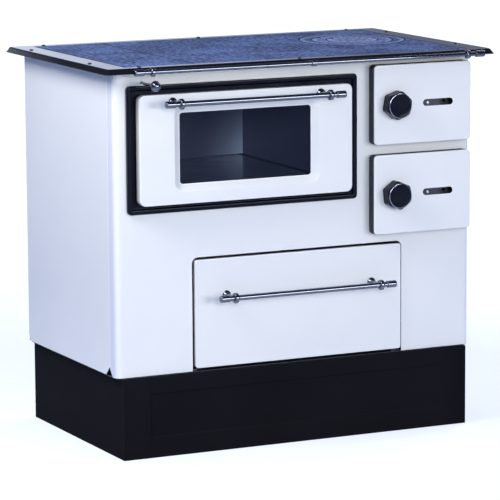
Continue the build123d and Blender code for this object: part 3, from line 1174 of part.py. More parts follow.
write_node("drawer_front", drawer_front())
write_node("drawer_box", drawer_box())
write_node("drawer_runners", drawer_runner(-1), drawer_runner(1))
drawer_bar, drawer_fittings = pull_handle(DRAWER_X0 + DRAWER_HANDLE_SIDE, DRAWER_X1 - DRAWER_HANDLE_SIDE,
                                          -DRAWER_PROUD, DRAWER_Z1 - DRAWER_HANDLE_DROP)
write_node("drawer_handle_bar", drawer_bar)
write_node("drawer_handle_fittings", *drawer_fittings)
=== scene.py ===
import math

import bmesh
import bpy
import numpy as np
from mathutils import Matrix, Vector


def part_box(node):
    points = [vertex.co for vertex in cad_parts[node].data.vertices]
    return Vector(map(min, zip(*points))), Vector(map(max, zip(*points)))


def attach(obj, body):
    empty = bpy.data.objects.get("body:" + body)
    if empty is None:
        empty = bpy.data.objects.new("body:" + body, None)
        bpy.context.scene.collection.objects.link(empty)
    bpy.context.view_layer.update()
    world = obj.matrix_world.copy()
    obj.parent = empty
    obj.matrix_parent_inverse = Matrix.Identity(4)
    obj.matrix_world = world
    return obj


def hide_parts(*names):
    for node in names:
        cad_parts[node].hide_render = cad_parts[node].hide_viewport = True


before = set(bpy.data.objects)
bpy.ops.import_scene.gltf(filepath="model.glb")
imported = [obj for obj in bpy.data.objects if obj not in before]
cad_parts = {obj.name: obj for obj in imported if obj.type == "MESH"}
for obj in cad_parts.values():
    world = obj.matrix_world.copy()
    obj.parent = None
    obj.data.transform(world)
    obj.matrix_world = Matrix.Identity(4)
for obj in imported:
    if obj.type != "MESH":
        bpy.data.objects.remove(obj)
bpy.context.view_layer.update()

# A wood cookstove in white and black enamel. The pressed sheets, the frames, the hob, the bars
# and the knobs are worked out here in millimetres, measured from the outer face of the front
# panel: x to the right, y to the back, z up from the floor. Finishes, floor, lamps and camera
# are in metres.
FRONT_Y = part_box("front_panel")[0].y * 1000

SHEET = 1.5  # thickness of the pressed sheets
DRAWER_FACE, OVEN_FACE, DOOR_FACE = -7, -26, -30  # y of their outer faces
FIRE_Z, ASH_Z = 736.75, 538.25  # middles of the two small doors
DOORS = (("fire", FIRE_Z), ("ash", ASH_Z))
KNOB_X = 225
RING_X, RING_Y = 285.0, 285.0  # middle of the hob's rings
RING_JOINTS = (120.0, 92.0, 58.0)  # radii of the joints of plate, rings and lid


# ---- surfaces ----
def weave(rows, columns, closed_rows=False, closed_columns=True):
    """Four-sided faces between neighbouring points of a grid with that many rows and columns."""
    row = np.arange(rows if closed_rows else rows - 1)[:, None]
    column = np.arange(columns if closed_columns else columns - 1)[None, :]
    below = (row + 1) % rows
    beside = (column + 1) % columns
    corners = (row * columns + column, row * columns + beside,
               below * columns + beside, below * columns + column)
    return np.stack(np.broadcast_arrays(*corners), -1).reshape(-1, 4)


def facing_out(points, faces, inside):
    """Faces turned so that, weighted by area, they look away from inside: one point for them all
    or a point for each."""
    ends = points[faces]
    normal = np.cross(ends[:, 2] - ends[:, 0], ends[:, 3] - ends[:, 1])
    outward = ((ends.mean(1) - inside) * normal).sum()
    return faces if outward > 0 else faces[:, ::-1]


def eased(rows, cut, closed=False, weights=1.0, steps=5):
    """Section rows with rounded corners. Each corner becomes a quadratic curve between the points
    cut before it and after it, and a short straight run stays on both sides of the curve. Weights
    say which columns a cut is measured on."""
    straight = 1.35  # where the straight run ends, in cuts from the corner
    rows = np.array(rows, float)
    corner = rows if closed else rows[1:-1]
    back = (np.roll(rows, 1, 0) if closed else rows[:-2]) - corner
    ahead = (np.roll(rows, -1, 0) if closed else rows[2:]) - corner
    cut = np.broadcast_to(np.array(cut, float), len(corner))[:, None]
    back = back / np.linalg.norm(back * weights, axis=1, keepdims=True) * cut
    ahead = ahead / np.linalg.norm(ahead * weights, axis=1, keepdims=True) * cut
    t = np.linspace(0, 1, steps + 1)[:, None]
    curve = corner[:, None] + (1 - t) ** 2 * back[:, None] + t ** 2 * ahead[:, None]
    before, after = corner + straight * back, corner + straight * ahead
    curve = np.concatenate((before[:, None], curve, after[:, None]), 1)
    curve = curve.reshape(-1, rows.shape[1])
    return curve if closed else np.concatenate((rows[:1], curve, rows[-1:]))


def lofted(rows, cut, **more):
    """Eased rows of a loft, whose cuts are measured on its half width and its depth."""
    return eased(rows, cut, weights=np.array((0, 0, 1, 0, 0, 1)), **more)


def outline(u0, u1, v0, v1, radius):
    """Centre, half sizes and corner radius of a rounded rectangle between its sides."""
    return ((u0 + u1) / 2, (v0 + v1) / 2, (u1 - u0) / 2, (v1 - v0) / 2, radius)


def inset(sizes, by):
    """The outline drawn in by a distance."""
    cu, cv, hu, hv, radius = sizes
    return (cu, cv, hu - by, hv - by, max(radius - by, 0.4))


def rounded_loops(sizes, steps=8, marks=()):
    """Rounded rectangles, one for each row that starts as an outline does: four arcs of steps + 1
    points, and the places in marks, held within the straight side, as more points at low v."""
    columns = np.asarray(sizes, float).T[:5]
    cu, cv, hu, hv, radius = (column[:, None, None] for column in columns)
    angle = np.radians(np.arange(4)[:, None] * 90 + np.linspace(0, 90, steps + 1))
    side_u = np.array((1, -1, -1, 1))[:, None]
    side_v = np.array((1, 1, -1, -1))[:, None]
    u = cu + side_u * (hu - radius) + radius * np.cos(angle)
    v = cv + side_v * (hv - radius) + radius * np.sin(angle)
    rows = len(u)
    run = (hu - radius)[:, :, 0]
    added_u = np.clip(np.array(marks, float)[None], cu[:, :, 0] - run, cu[:, :, 0] + run)
    added_v = np.broadcast_to((cv - hv)[:, :, 0], (rows, len(marks)))
    u = np.concatenate((u[:, :3].reshape(rows, -1), added_u, u[:, 3]), 1)
    v = np.concatenate((v[:, :3].reshape(rows, -1), added_v, v[:, 3]), 1)
    return u, v


def upright(sizes, **more):
    """Points of rounded rectangles that face the front; the sixth column of sizes is y."""
    u, v = rounded_loops(sizes, **more)
    return np.stack((u, np.broadcast_to(np.asarray(sizes)[:, 5:6], u.shape), v), -1)


def level(sizes, **more):
    """Points of rounded rectangles that lie flat; the sixth column of sizes is z."""
    u, v = rounded_loops(sizes, **more)
    return np.stack((u, v, np.broadcast_to(np.asarray(sizes)[:, 5:6], u.shape)), -1)


def sheet_of(points, inside, closed_rows=False, closed_columns=True, caps=(), dropped=None):
    """Mesh data of a grid of points, its faces looking away from inside, with a flat cap over the
    rows named in caps and without the faces for which dropped is true."""
    rows, columns = points.shape[:2]
    flat = points.reshape(-1, 3)
    woven = weave(rows, columns, closed_rows, closed_columns)
    faces = facing_out(flat, woven, np.array(inside, float))
    forward = np.array_equal(faces[0], woven[0])
    if dropped is not None:
        faces = faces[~dropped(flat[faces].mean(1))]
    lids = []
    for row in caps:
        rim = (row % rows) * columns + np.arange(columns)
        first = row % rows == 0
        lids.append((rim[::-1] if first == forward else rim).tolist())
    return flat, faces.tolist() + lids


def turned(section, axis, centre, count):
    """Surface of revolution: the rows of section are (distance along the axis, radius), and the
    radius is carried round the axis in count steps."""
    section, centre = np.asarray(section, float), np.array(centre, float)
    angle = np.linspace(0, 2 * np.pi, count, endpoint=False)
    along = np.broadcast_to(section[:, :1], (len(section), count))
    across = section[:, 1:] * np.cos(angle)
    up = section[:, 1:] * np.sin(angle)
    order = {"x": (along, across, up), "y": (across, along, up), "z": (across, up, along)}[axis]
    middle = centre + np.array([axis == a for a in "xyz"], float) * section[:, 0].mean()
    return sheet_of(np.stack(order, -1) + centre, middle)


def side_plate(outer, low, high, edge):
    """Flat piece with an outer line of (y, z) points in a side plane, from x low to x high, and
    its edges taken off by drawing the line in towards its middle."""
    outer = np.array(outer, float)
    middle = outer.mean(0)
    shrink = 1 - edge / np.abs(outer - middle).max()
    rows = [(low, shrink), (low + edge, 1), (high - edge, 1), (high, shrink)]
    points = np.array([np.column_stack((np.full(len(outer), x), middle + (outer - middle) * size))
                       for x, size in rows])
    return sheet_of(points, points.reshape(-1, 3).mean(0), caps=(0, -1))


# ---- pieces ----
FINISH = {}


def placed(name, data):
    """New object in the scene, at the origin."""
    made = bpy.data.objects.new(name, data)
    bpy.context.scene.collection.objects.link(made)
    return made


def piece(name, shells, body, finish, replaces=(), wall=0.0):
    """Object from mesh data in millimetres, in a finish. Its doubled points are merged, wall gives
    an open sheet its thickness on the inside, and faces meeting at less than 40 degrees are shaded
    as one."""
    doubled, sliver = 2e-6, 1e-7
    points, faces, start = [], [], 0
    for shell_points, shell_faces in shells:
        points.append(shell_points)
        faces += [[start + i for i in face] for face in shell_faces]
        start += len(shell_points)
    points = (np.concatenate(points) + (0, FRONT_Y, 0)) / 1000
    mesh = bpy.data.meshes.new(name)
    mesh.from_pydata(points.tolist(), [], faces)
    work = bmesh.new()
    work.from_mesh(mesh)
    bmesh.ops.remove_doubles(work, verts=work.verts, dist=doubled)
    bmesh.ops.dissolve_degenerate(work, edges=work.edges, dist=sliver)
    work.to_mesh(mesh)
    work.free()
    mesh.polygons.foreach_set("use_smooth", np.ones(len(mesh.polygons), bool))
    mesh.set_sharp_from_angle(angle=math.radians(40))
    mesh.materials.append(FINISH[finish])
    made = placed(name, mesh)
    if wall:
        solid = made.modifiers.new("wall", "SOLIDIFY")
        solid.thickness = wall / 1000
        solid.offset = -1
    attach(made, body)
    if replaces:
        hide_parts(*replaces)


def soften(node, limit=35.0):
    """Custom normals for a CAD node: at each corner of a triangle, the mean of the faces that meet
    there within limit degrees of its own face, weighted by their angle at that point."""
    mesh = node.data
    tiny = 1e-20  # keeps the divisions by a length safe
    corner = np.zeros(len(mesh.loops), np.int32)
    mesh.loops.foreach_get("vertex_index", corner)
    place = np.zeros(len(mesh.vertices) * 3, np.float32)
    mesh.vertices.foreach_get("co", place)
    ends = place.reshape(-1, 3)[corner.reshape(-1, 3)].astype(float)
    normal = np.cross(ends[:, 1] - ends[:, 0], ends[:, 2] - ends[:, 0])
    normal /= np.maximum(np.linalg.norm(normal, axis=1, keepdims=True), tiny)
    to_next = np.roll(ends, -1, 1) - ends
    to_last = np.roll(ends, 1, 1) - ends
    lengths = np.linalg.norm(to_next, axis=2) * np.linalg.norm(to_last, axis=2)
    cosine = (to_next * to_last).sum(2) / np.maximum(lengths, tiny)
    opening = np.arccos(np.clip(cosine, -1, 1)).ravel()
    # corners at one place, to a micrometre, form a group, and each is paired with all of its group
    rounded = np.round(ends.reshape(-1, 3) * 1e6).astype(np.int64)
    group = np.unique(rounded, axis=0, return_inverse=True)[1].ravel()
    order = np.argsort(group, kind="stable")
    counts = np.bincount(group)
    starts = np.cumsum(counts) - counts
    repeats = counts[group[order]]
    left = np.repeat(order, repeats)
    offset = np.arange(repeats.sum()) - np.repeat(np.cumsum(repeats) - repeats, repeats)
    right = order[np.repeat(starts[group[order]], repeats) + offset]
    near = (normal[left // 3] * normal[right // 3]).sum(1) > math.cos(math.radians(limit))
    total = np.zeros((len(corner), 3))
    np.add.at(total, left[near], normal[right[near] // 3] * opening[right[near], None])
    total /= np.maximum(np.linalg.norm(total, axis=1, keepdims=True), tiny)
    mesh.polygons.foreach_set("use_smooth", np.ones(len(mesh.polygons), bool))
    mesh.normals_split_custom_set(total.tolist())


# ---- finishes ----
class Value:
    """What one socket gives. Arithmetic with it adds a Math node and gives that node's result."""

    def __init__(self, nodes, socket):
        self.nodes = nodes
        self.socket = socket

    def __add__(self, other):
        return self.nodes.maths("ADD", self, other)

    def __sub__(self, other):
        return self.nodes.maths("SUBTRACT", self, other)

    def __rsub__(self, other):
        return self.nodes.maths("SUBTRACT", other, self)

    def __mul__(self, other):
        return self.nodes.maths("MULTIPLY", self, other)

    def __truediv__(self, other):
        return self.nodes.maths("DIVIDE", self, other)

    __radd__ = __add__
    __rmul__ = __mul__


class Nodes:
    """A node tree, and the methods that add nodes to it."""

    def __init__(self, tree):
        self.tree = tree
        tree.nodes.clear()

    def add(self, kind, settings=None, values=(), output=0):
        """Adds a node of a kind: its settings first, then the values or links of its sockets by
        place or name. Gives the named output as a Value."""
        node = self.tree.nodes.new(kind)
        for key, setting in (settings or {}).items():
            setattr(node, key, setting)
        for key, value in (values.items() if isinstance(values, dict) else enumerate(values)):
            if isinstance(value, Value):
                self.tree.links.new(value.socket, node.inputs[key])
            else:
                node.inputs[key].default_value = value
        return Value(self, node.outputs[output])

    def maths(self, operation, *terms):
        """A Math node on values or numbers."""
        return self.add("ShaderNodeMath", {"operation": operation}, terms)

    def axis(self, vector, name):
        """One of a vector's coordinates."""
        return self.add("ShaderNodeSeparateXYZ", None, (vector,), name)

    def span(self, value, low, high, to_low=0.0, to_high=1.0):
        """The part of value between low and high, carried to to_low and to_high and held there."""
        return self.add("ShaderNodeMapRange", {"clamp": True}, (value, low, high, to_low, to_high))

    def band(self, value, rise, full, fade, end):
        """Rises from 0 to 1 between the first two places and falls back between the last two."""
        return self.span(value, rise, full) * self.span(value, fade, end, 1.0, 0.0)

    def mixed(self, first, second, factor):
        """Colour between two colours."""
        return self.add("ShaderNodeMix", {"data_type": "RGBA"}, {0: factor, 6: first, 7: second}, 2)

    def show(self, shader, kind="ShaderNodeOutputMaterial"):
        """Adds the output node and links the shader to it."""
        self.tree.links.new(shader.socket, self.tree.nodes.new(kind).inputs["Surface"])


class Finish(Nodes):
    """A material with one Principled shader. Patterns read the object's own coordinates."""

    def __init__(self, name, **sockets):
        self.name = name
        self.material = bpy.data.materials.new(name)
        self.material.use_nodes = True
        super().__init__(self.material.node_tree)
        self.place = self.add("ShaderNodeTexCoord", output="Object")
        self.sockets = sockets

    def done(self, **varying):
        """Adds the shader with its fixed sockets and the varying ones, and files the material."""
        values = {key.replace("_", " ").title().replace("Ior", "IOR"): value
                  for key, value in {**self.sockets, **varying}.items()}
        self.show(self.add("ShaderNodeBsdfPrincipled", None, values))
        FINISH[self.name] = self.material

    def stretched(self, x, y, z):
        """Object coordinates scaled along each axis."""
        return self.add("ShaderNodeVectorMath", {"operation": "MULTIPLY"}, (self.place, (x, y, z)))

    def from_line(self, keep, point):
        """Distance from point, counted only along the axes kept."""
        lost = tuple(-part for part in point)
        off = self.add("ShaderNodeVectorMath", {"operation": "MULTIPLY_ADD"},
                       (self.place, keep, lost))
        return self.add("ShaderNodeVectorMath", {"operation": "LENGTH"}, (off,), "Value")

    def noise(self, scale, detail=2.0, roughness=0.5, vector=None):
        """Cloudy noise, about a metre / scale from one cloud to the next."""
        return self.add("ShaderNodeTexNoise", {"noise_dimensions": "3D"},
                        {"Vector": vector or self.place, "Scale": scale, "Detail": detail,
                         "Roughness": roughness})

    def cells(self, scale, output="Distance", vector=None):
        """Voronoi cells: how far off their middles are, or a colour for each."""
        return self.add("ShaderNodeTexVoronoi", {"feature": "F1"},
                        {"Vector": vector or self.place, "Scale": scale}, output)

    def relief(self, height, distance, strength=1.0):
        """Normal from a height pattern, in metres of full height."""
        return self.add("ShaderNodeBump", None,
                        {"Strength": strength, "Distance": distance, "Height": height})


def colour(red, green, blue):
    """Linear colour of a socket."""
    return (red, green, blue, 1.0)


def enamel(name, main, shade, rough, speck, peel, part=None, **sockets):
    """Fired enamel: a faint cloudiness, pin-point specks and the soft ripple of its glassy skin.
    Part gives more colours and where they show, if there are any."""
    f = Finish(name, **sockets)
    cloud = f.span(f.noise(4.0, 3.0), 0.3, 0.7)
    fine = f.span(f.noise(900.0, 1.0), 0.66, 0.74)
    tone = f.mixed(f.mixed(main, shade, cloud), speck, fine * 0.35)
    for second, factor in (part(f) if part else ()):
        tone = f.mixed(tone, second, factor)
    ripple = f.noise(260.0, 1.5, 0.4)
    wipe = f.noise(9.0, 4.0, 0.6, f.stretched(1.0, 1.0, 2.5))
    f.done(base_color=tone, roughness=f.span(wipe, 0.3, 0.75, rough - 0.03, rough + 0.07),
           normal=f.relief(ripple, peel, 0.5))


def frame_top_painted_sheen(f):
    """The flat top of the hob's frame, painted blue-black as a painted sheen for the bluish light
    it reflects.
    """
    slope_end, flat = 0.8490, 0.8496
    return ((colour(0.008, 0.018, 0.065), f.span(f.axis(f.place, "Z"), slope_end, flat)),)


def corner_painted_light(f):
    """Painted light on the front panel's return round the corner: painted shade a shade darker, up
    to a painted highlight on its raw edge.
    """
    back = f.axis(f.place, "Y")
    # painted shade from 4 to 12 mm behind the front, and a painted highlight on the raw edge
    shade, edge = (f.span(back, (FRONT_Y + start) / 1000, (FRONT_Y + full) / 1000)
                   for start, full in ((4, 12), (33.2, 34.2)))
    return ((colour(0.67, 0.69, 0.76), shade), (colour(0.83, 0.845, 0.86), edge))


def rolled_iron(name, dark, light, rough, **sockets):
    """Ground cast iron: mottled by heat and oil, with fine pits and grinding marks across the
    plate. Its blue is a painted sheen for the bluish light the iron reflects. Each joint of the
    hob's rings is painted dark, as painted shade in its gap, and beside it a paler band is painted
    highlight on the ring's edge as well as wear. The long joints beside the frame and between the
    plates are painted dark as shade as well."""
    f = Finish(name, **sockets)
    broad = f.span(f.noise(9.0, 5.0, 0.70), 0.38, 0.62)
    fine = f.span(f.noise(100.0, 4.0, 0.75), 0.42, 0.62)
    marks = f.noise(60.0, 3.0, 0.6, f.stretched(1.0, 22.0, 1.0))
    # sheen_and_wear is a pale blue of painted sheen and wear, gap_painted_shade the painted shade
    # of the joints
    sheen_and_wear, gap_painted_shade = colour(0.40, 0.47, 0.72), colour(0.010, 0.015, 0.042)
    tone = f.mixed(dark, light, f.span(broad * 0.34 + fine * 0.68, 0.12, 0.98))
    radius = f.from_line((1, 1, 0), (RING_X / 1000, (RING_Y + FRONT_Y) / 1000, 0.0))
    tone = f.mixed(tone, sheen_and_wear, f.span(radius, 0.05, 0.11, 1.0, 0.0) * (0.10 + 0.45 * fine))
    # inside each joint a paler band of painted highlight and wear, then painted shade in its gap
    for joint in (radius_mm / 1000 for radius_mm in RING_JOINTS):
        worn = f.band(radius, joint - 0.014, joint - 0.008, joint - 0.002, joint)
        tone = f.mixed(tone, sheen_and_wear, worn * (0.25 + 0.45 * fine))
        gap = f.band(radius, joint - 0.0015, joint - 0.0005, joint + 0.0020, joint + 0.0035)
        tone = f.mixed(tone, gap_painted_shade, gap)
    # painted shade along the long joints beside the frame and between the plates
    across = f.axis(f.place, "X")
    edge = f.span(across, -0.4095, -0.4070, 1.0, 0.0)
    for limit in (0.4070, -0.2540):
        edge = edge + f.band(across, limit, limit + 0.0015, limit + 0.0040, limit + 0.0050)
    tone = f.mixed(tone, gap_painted_shade, edge * 0.8)
    worn = f.span(f.noise(7.0, 3.0, 0.6), 0.35, 0.7)
    f.done(base_color=tone, normal=f.relief(fine * 0.6 + marks * 0.4, 0.00012, 0.7),
           roughness=f.span(broad + worn * 0.6, 0.0, 1.6, rough, rough + 0.22))


def sand_cast(name, dark, light, rough, **sockets):
    """Sand-cast iron with a grainy skin, and a brown bloom in places."""
    f = Finish(name, **sockets)
    skin = f.noise(520.0, 4.0, 0.65)
    lump = f.noise(70.0, 3.0, 0.6)
    bloom = f.span(f.noise(14.0, 5.0, 0.65), 0.55, 0.8)
    grey = f.mixed(dark, light, f.span(lump, 0.35, 0.7))
    f.done(base_color=f.mixed(grey, colour(0.035, 0.020, 0.013), bloom * 0.25),
           roughness=f.span(skin, 0.3, 0.7, rough - 0.08, rough + 0.1),
           normal=f.relief(skin * 0.7 + lump * 0.5, 0.0004, 0.8))


def plated(name, tint, rough, smear, lay, grain=0.0):
    """Polished or brushed metal: fine lines along its lay and a thin uneven film. Only a brushed
    one, with a grain, has relief."""
    f = Finish(name, metallic=1.0)
    lines = f.noise(700.0, 2.0, 0.6, f.stretched(*lay))
    film = f.span(f.noise(16.0, 4.0, 0.6), 0.35, 0.75)
    tone = f.mixed(colour(*tint), colour(*(part * 0.84 for part in tint)), film)
    varying = {"normal": f.relief(lines, grain, 0.5)} if grain else {}
    f.done(base_color=tone, **varying,
           roughness=f.span(lines * 0.5 + film * 0.5, 0.2, 0.8, rough, rough + smear))


def zinc_coated(name, dark, light):
    """Zinc-coated sheet: flat crystals of differing grey, each turned a little."""
    f = Finish(name, metallic=0.85)
    drift = f.add("ShaderNodeTexNoise", None, {"Vector": f.place, "Scale": 40.0}, "Color")
    bent = f.add("ShaderNodeVectorMath", {"operation": "MULTIPLY_ADD"},
                 (drift, (0.004, 0.004, 0.004), f.place))
    grey = f.add("ShaderNodeSeparateColor", None, (f.cells(95.0, "Color", bent),), 0)
    streak = f.noise(5.0, 4.0, 0.6)
    f.done(base_color=f.mixed(dark, light, grey), normal=f.relief(grey, 0.00004, 0.6),
           roughness=f.span(grey + streak * 0.6, 0.2, 1.5, 0.32, 0.44))


def heat_paint(name, main, worn, rough):
    """Matt heatproof paint on sheet steel, dusty and a little paler where it is worn."""
    f = Finish(name)
    dust = f.span(f.noise(22.0, 5.0, 0.7), 0.5, 0.8)
    tooth = f.noise(800.0, 2.0, 0.5)
    f.done(base_color=f.mixed(main, worn, dust), normal=f.relief(tooth, 0.00008, 0.5),
           roughness=f.span(dust, 0.0, 1.0, rough, rough + 0.15))


def speckled_enamel(name):
    """Dark oven enamel with the pale flecks that are fired into it. The back of the oven is painted
    pale towards its right and less so high up, a painted pool of light from the window; the right
    wall has a slightly lighter blue of its own, and the floor stays dark, with a painted shadow in
    its groove."""
    f = Finish(name, specular_ior_level=0.25, coat_roughness=0.14)
    fleck = f.span(f.cells(160.0), 0.08, 0.12, 1.0, 0.0)
    smoke = f.span(f.noise(6.0, 4.0, 0.6), 0.35, 0.75)
    across, upward = f.axis(f.place, "X"), f.axis(f.place, "Z")
    right_wall, floor_edge = (0.0790, 0.0794), (0.583, 0.585)
    # painted light: the back wall is painted pale towards its right, less so high up, as a pool of
    # light through the window
    painted_light_across = f.span(across, -0.10, right_wall[0])
    back = f.span(across, *right_wall, 1.0, 0.0) * f.span(upward, *floor_edge)
    painted_light_height = f.span(upward, 0.61, 0.68, 1.0, 0.55)
    dark = f.mixed(colour(0.070, 0.084, 0.150), colour(0.052, 0.064, 0.118), smoke)
    tone = f.mixed(dark, colour(0.58, 0.74, 1.0), painted_light_across * painted_light_across * painted_light_across * back * painted_light_height)
    tone = f.mixed(tone, colour(0.085, 0.100, 0.185), f.span(across, *right_wall))
    on_floor = f.span(upward, *floor_edge, 1.0, 0.0)
    # painted shadow in the groove of the floor
    groove_painted_shadow = f.span(across, 0.0650, 0.0665) * on_floor
    tone = f.mixed(tone, colour(0.010, 0.012, 0.020), groove_painted_shadow)
    tone = f.mixed(tone, colour(0.45, 0.50, 0.60), fleck * 0.2)
    f.done(base_color=tone, roughness=f.span(smoke, 0.0, 1.0, 0.30, 0.42), coat_weight=on_floor)


def oven_pane(name):
    """Toughened glass, thinly smoked, with the trace of a wiped film."""
    f = Finish(name, ior=1.5, specular_ior_level=0.2)
    film = f.span(f.noise(5.0, 5.0, 0.65, f.stretched(1.0, 1.0, 2.0)), 0.4, 0.8)
    tone = f.mixed(colour(0.026, 0.034, 0.066), colour(0.034, 0.043, 0.080), film)
    f.done(base_color=tone, roughness=f.span(film, 0.0, 1.0, 0.02, 0.05),
           alpha=f.span(film, 0.0, 1.0, 0.12, 0.14))


def moulded(name, x, z):
    """Glossy black thermoset of a knob about the axis through x and z, with the faint flow marks of
    moulding. The rounded rim of its face, between two radii, carries a painted highlight: a bright
    metallic ring."""
    f = Finish(name, specular_ior_level=0.08)
    flow = f.noise(90.0, 3.0, 0.6, f.stretched(1.0, 0.3, 1.0))
    radius = f.from_line((1, 0, 1), (x / 1000, 0, z / 1000))
    # painted highlight: the rim of the face is a bright metallic ring
    rim = f.band(radius, 0.0261, 0.0266, 0.0276, 0.0280)
    black = f.mixed(colour(0.0060, 0.0080, 0.0160), colour(0.0090, 0.0108, 0.0195),
                    f.span(flow, 0.35, 0.7))
    f.done(base_color=f.mixed(black, colour(0.33, 0.36, 0.43), rim), metallic=rim * 0.9,
           roughness=f.span(flow, 0.3, 0.7, 0.07, 0.12))


def glass_rope(name):
    """Woven glass-fibre rope, off-white with grey soot on its high strands."""
    f = Finish(name)
    yarn = f.add("ShaderNodeTexWave", {"wave_type": "BANDS", "bands_direction": "DIAGONAL"},
                 {"Vector": f.place, "Scale": 420.0, "Distortion": 2.0, "Detail": 2.0}, "Fac")
    soot = f.span(f.noise(30.0, 5.0, 0.7), 0.35, 0.7)
    tone = f.mixed(colour(0.42, 0.40, 0.36), colour(0.09, 0.085, 0.08), soot)
    f.done(base_color=tone, roughness=f.span(yarn, 0.0, 1.0, 0.8, 0.98),
           normal=f.relief(yarn, 0.0004, 0.7))


def firebrick(name):
    """Pressed fire-clay: sandy grain, open pores and smoked patches."""
    f = Finish(name)
    grain = f.noise(260.0, 5.0, 0.7)
    pit = 1 - f.span(f.cells(130.0), 0.10, 0.28)
    smoke = f.span(f.noise(9.0, 4.0, 0.6), 0.4, 0.75)
    clay = f.mixed(colour(0.42, 0.30, 0.20), colour(0.55, 0.43, 0.30), f.span(grain, 0.35, 0.7))
    tone = f.mixed(clay, colour(0.10, 0.085, 0.07), smoke * 0.7)
    tone = f.mixed(tone, colour(0.12, 0.08, 0.05), pit * 0.6)
    f.done(base_color=tone, roughness=f.span(grain, 0.3, 0.7, 0.85, 0.97),
           normal=f.relief(grain * 0.5 - pit, 0.0006, 0.7))


WHITE = (colour(0.770, 0.782, 0.780), colour(0.740, 0.755, 0.762), 0.20,
         colour(0.60, 0.64, 0.74), 0.00010)
WHITE_SKIN = {"coat_weight": 0.25, "coat_roughness": 0.06}
BLACK = (colour(0.0030, 0.0034, 0.0060), colour(0.0045, 0.0050, 0.0085), 0.13,
         colour(0.02, 0.022, 0.03), 0.00004)
BRUSHED, POLISHED = (0.15, 3.0, 3.0), (1.0, 6.0, 6.0)  # scales of lines that run along x

enamel("white_enamel", *WHITE, **WHITE_SKIN)
# corner_enamel: white enamel with painted shade and a painted highlight on the front panel's return
enamel("corner_enamel", *WHITE, part=corner_painted_light, **WHITE_SKIN)
enamel("black_enamel", *BLACK, specular_ior_level=0.20, specular_tint=colour(0.62, 0.74, 1.0))
# frame_enamel: black enamel whose flat top is painted blue as a painted sheen
enamel("frame_enamel", *BLACK, part=frame_top_painted_sheen, specular_ior_level=0.31,
       specular_tint=colour(0.60, 0.74, 1.0), coat_weight=0.6, coat_roughness=0.10)
enamel("plinth_enamel", colour(0.0076, 0.0076, 0.0098), colour(0.0093, 0.0092, 0.0118), 0.30,
       colour(0.02, 0.021, 0.03), 0.00022, specular_ior_level=0.003)
# the blue of these colours is a painted sheen, for the bluish light the plates reflect
rolled_iron("hot_plate_iron", colour(0.013, 0.026, 0.084), colour(0.172, 0.245, 0.480), 0.42,
            specular_ior_level=0.05, specular_tint=colour(0.30, 0.45, 1.0))
sand_cast("cast_iron", colour(0.011, 0.013, 0.021), colour(0.023, 0.027, 0.040), 0.62,
          metallic=0.3)
heat_paint("black_sheet", colour(0.012, 0.012, 0.014), colour(0.035, 0.034, 0.034), 0.55)
speckled_enamel("oven_enamel")
oven_pane("oven_glass")
plated("chrome", (0.175, 0.192, 0.245), 0.06, 0.01, POLISHED)
plated("bright_steel", (0.50, 0.51, 0.54), 0.24, 0.16, BRUSHED, 0.00003)
plated("blued_steel", (0.055, 0.058, 0.075), 0.30, 0.15, BRUSHED, 0.00003)
zinc_coated("zinc_sheet", colour(0.47, 0.48, 0.50), colour(0.60, 0.61, 0.63))
# the base plate and drawer runners: zinc painted dark as the shade they sit in
zinc_coated("zinc_in_painted_shade", colour(0.065, 0.072, 0.10), colour(0.085, 0.094, 0.13))
moulded("fire_knob", KNOB_X, FIRE_Z)
moulded("ash_knob", KNOB_X, ASH_Z)
glass_rope("rope")
firebrick("fire_brick")

CAD_NODES_IN = {
    "white_enamel": ("side_panel_left", "side_panel_right"),
    "corner_enamel": ("front_panel",),
    "black_enamel": ("oven_rivets",),
    "plinth_enamel": ("plinth_side_left", "plinth_side_right", "plinth_back"),
    "cast_iron": ("flue_collar", "firebox_front", "grate_bed", "fire_grate", "fire_door_casting",
                  "ash_door_casting", "fire_door_liner", "ash_door_liner"),
    "black_sheet": ("firebox_shell", "ash_pan", "channel_floor", "rear_partition"),
    "oven_enamel": ("oven_box", "oven_floor"),
    "oven_glass": ("oven_door_glass",),
    "chrome": ("rail_bar", "oven_handle_bar", "drawer_handle_bar", "damper_rod"),
    "bright_steel": ("hinge_pins", "oven_door_knuckles", "damper_guides", "fire_door_latch",
                     "ash_door_latch"),
    "zinc_sheet": ("back_panel", "oven_door_inner", "drawer_box"),
    "zinc_in_painted_shade": ("base_plate", "drawer_runners"),
    "fire_brick": ("fire_bricks",),
}
for finish_name, node_names in CAD_NODES_IN.items():
    for node_name in node_names:
        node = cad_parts[node_name]
        node.data.materials.clear()
        node.data.materials.append(FINISH[finish_name])
        soften(node)

# ---- pressed sheets ----
DRAWER = outline(-248, 254, 187, 424, 6)
rows = lofted([(*DRAWER, 12), (*DRAWER, DRAWER_FACE), (*inset(DRAWER, 12), DRAWER_FACE)], 1.6)
piece("drawer_face", [sheet_of(upright(rows), (3, 5, 304), caps=(-1,))], "drawer",
      "white_enamel", ("drawer_front",), SHEET)

DOOR_HALF, SLOT_HALF = 87.75, 7.5
for door, z in DOORS:
    face = outline(176, 417, z - DOOR_HALF, z + DOOR_HALF, 9)
    slot_edge = outline(297, 372, z - SLOT_HALF, z + SLOT_HALF, SLOT_HALF - 0.05)
    rows = lofted([(*face, DOOR_FACE + 3.5), (*face, DOOR_FACE),
                   (*inset(slot_edge, -0.01), DOOR_FACE), (*slot_edge, DOOR_FACE + 1.5)],
                  (2.4, 0.7))
    piece(f"{door}_door_front", [sheet_of(upright(rows), (296.5, -20, z + 60))], f"{door}_door",
          "white_enamel", (f"{door}_door_face",), SHEET)

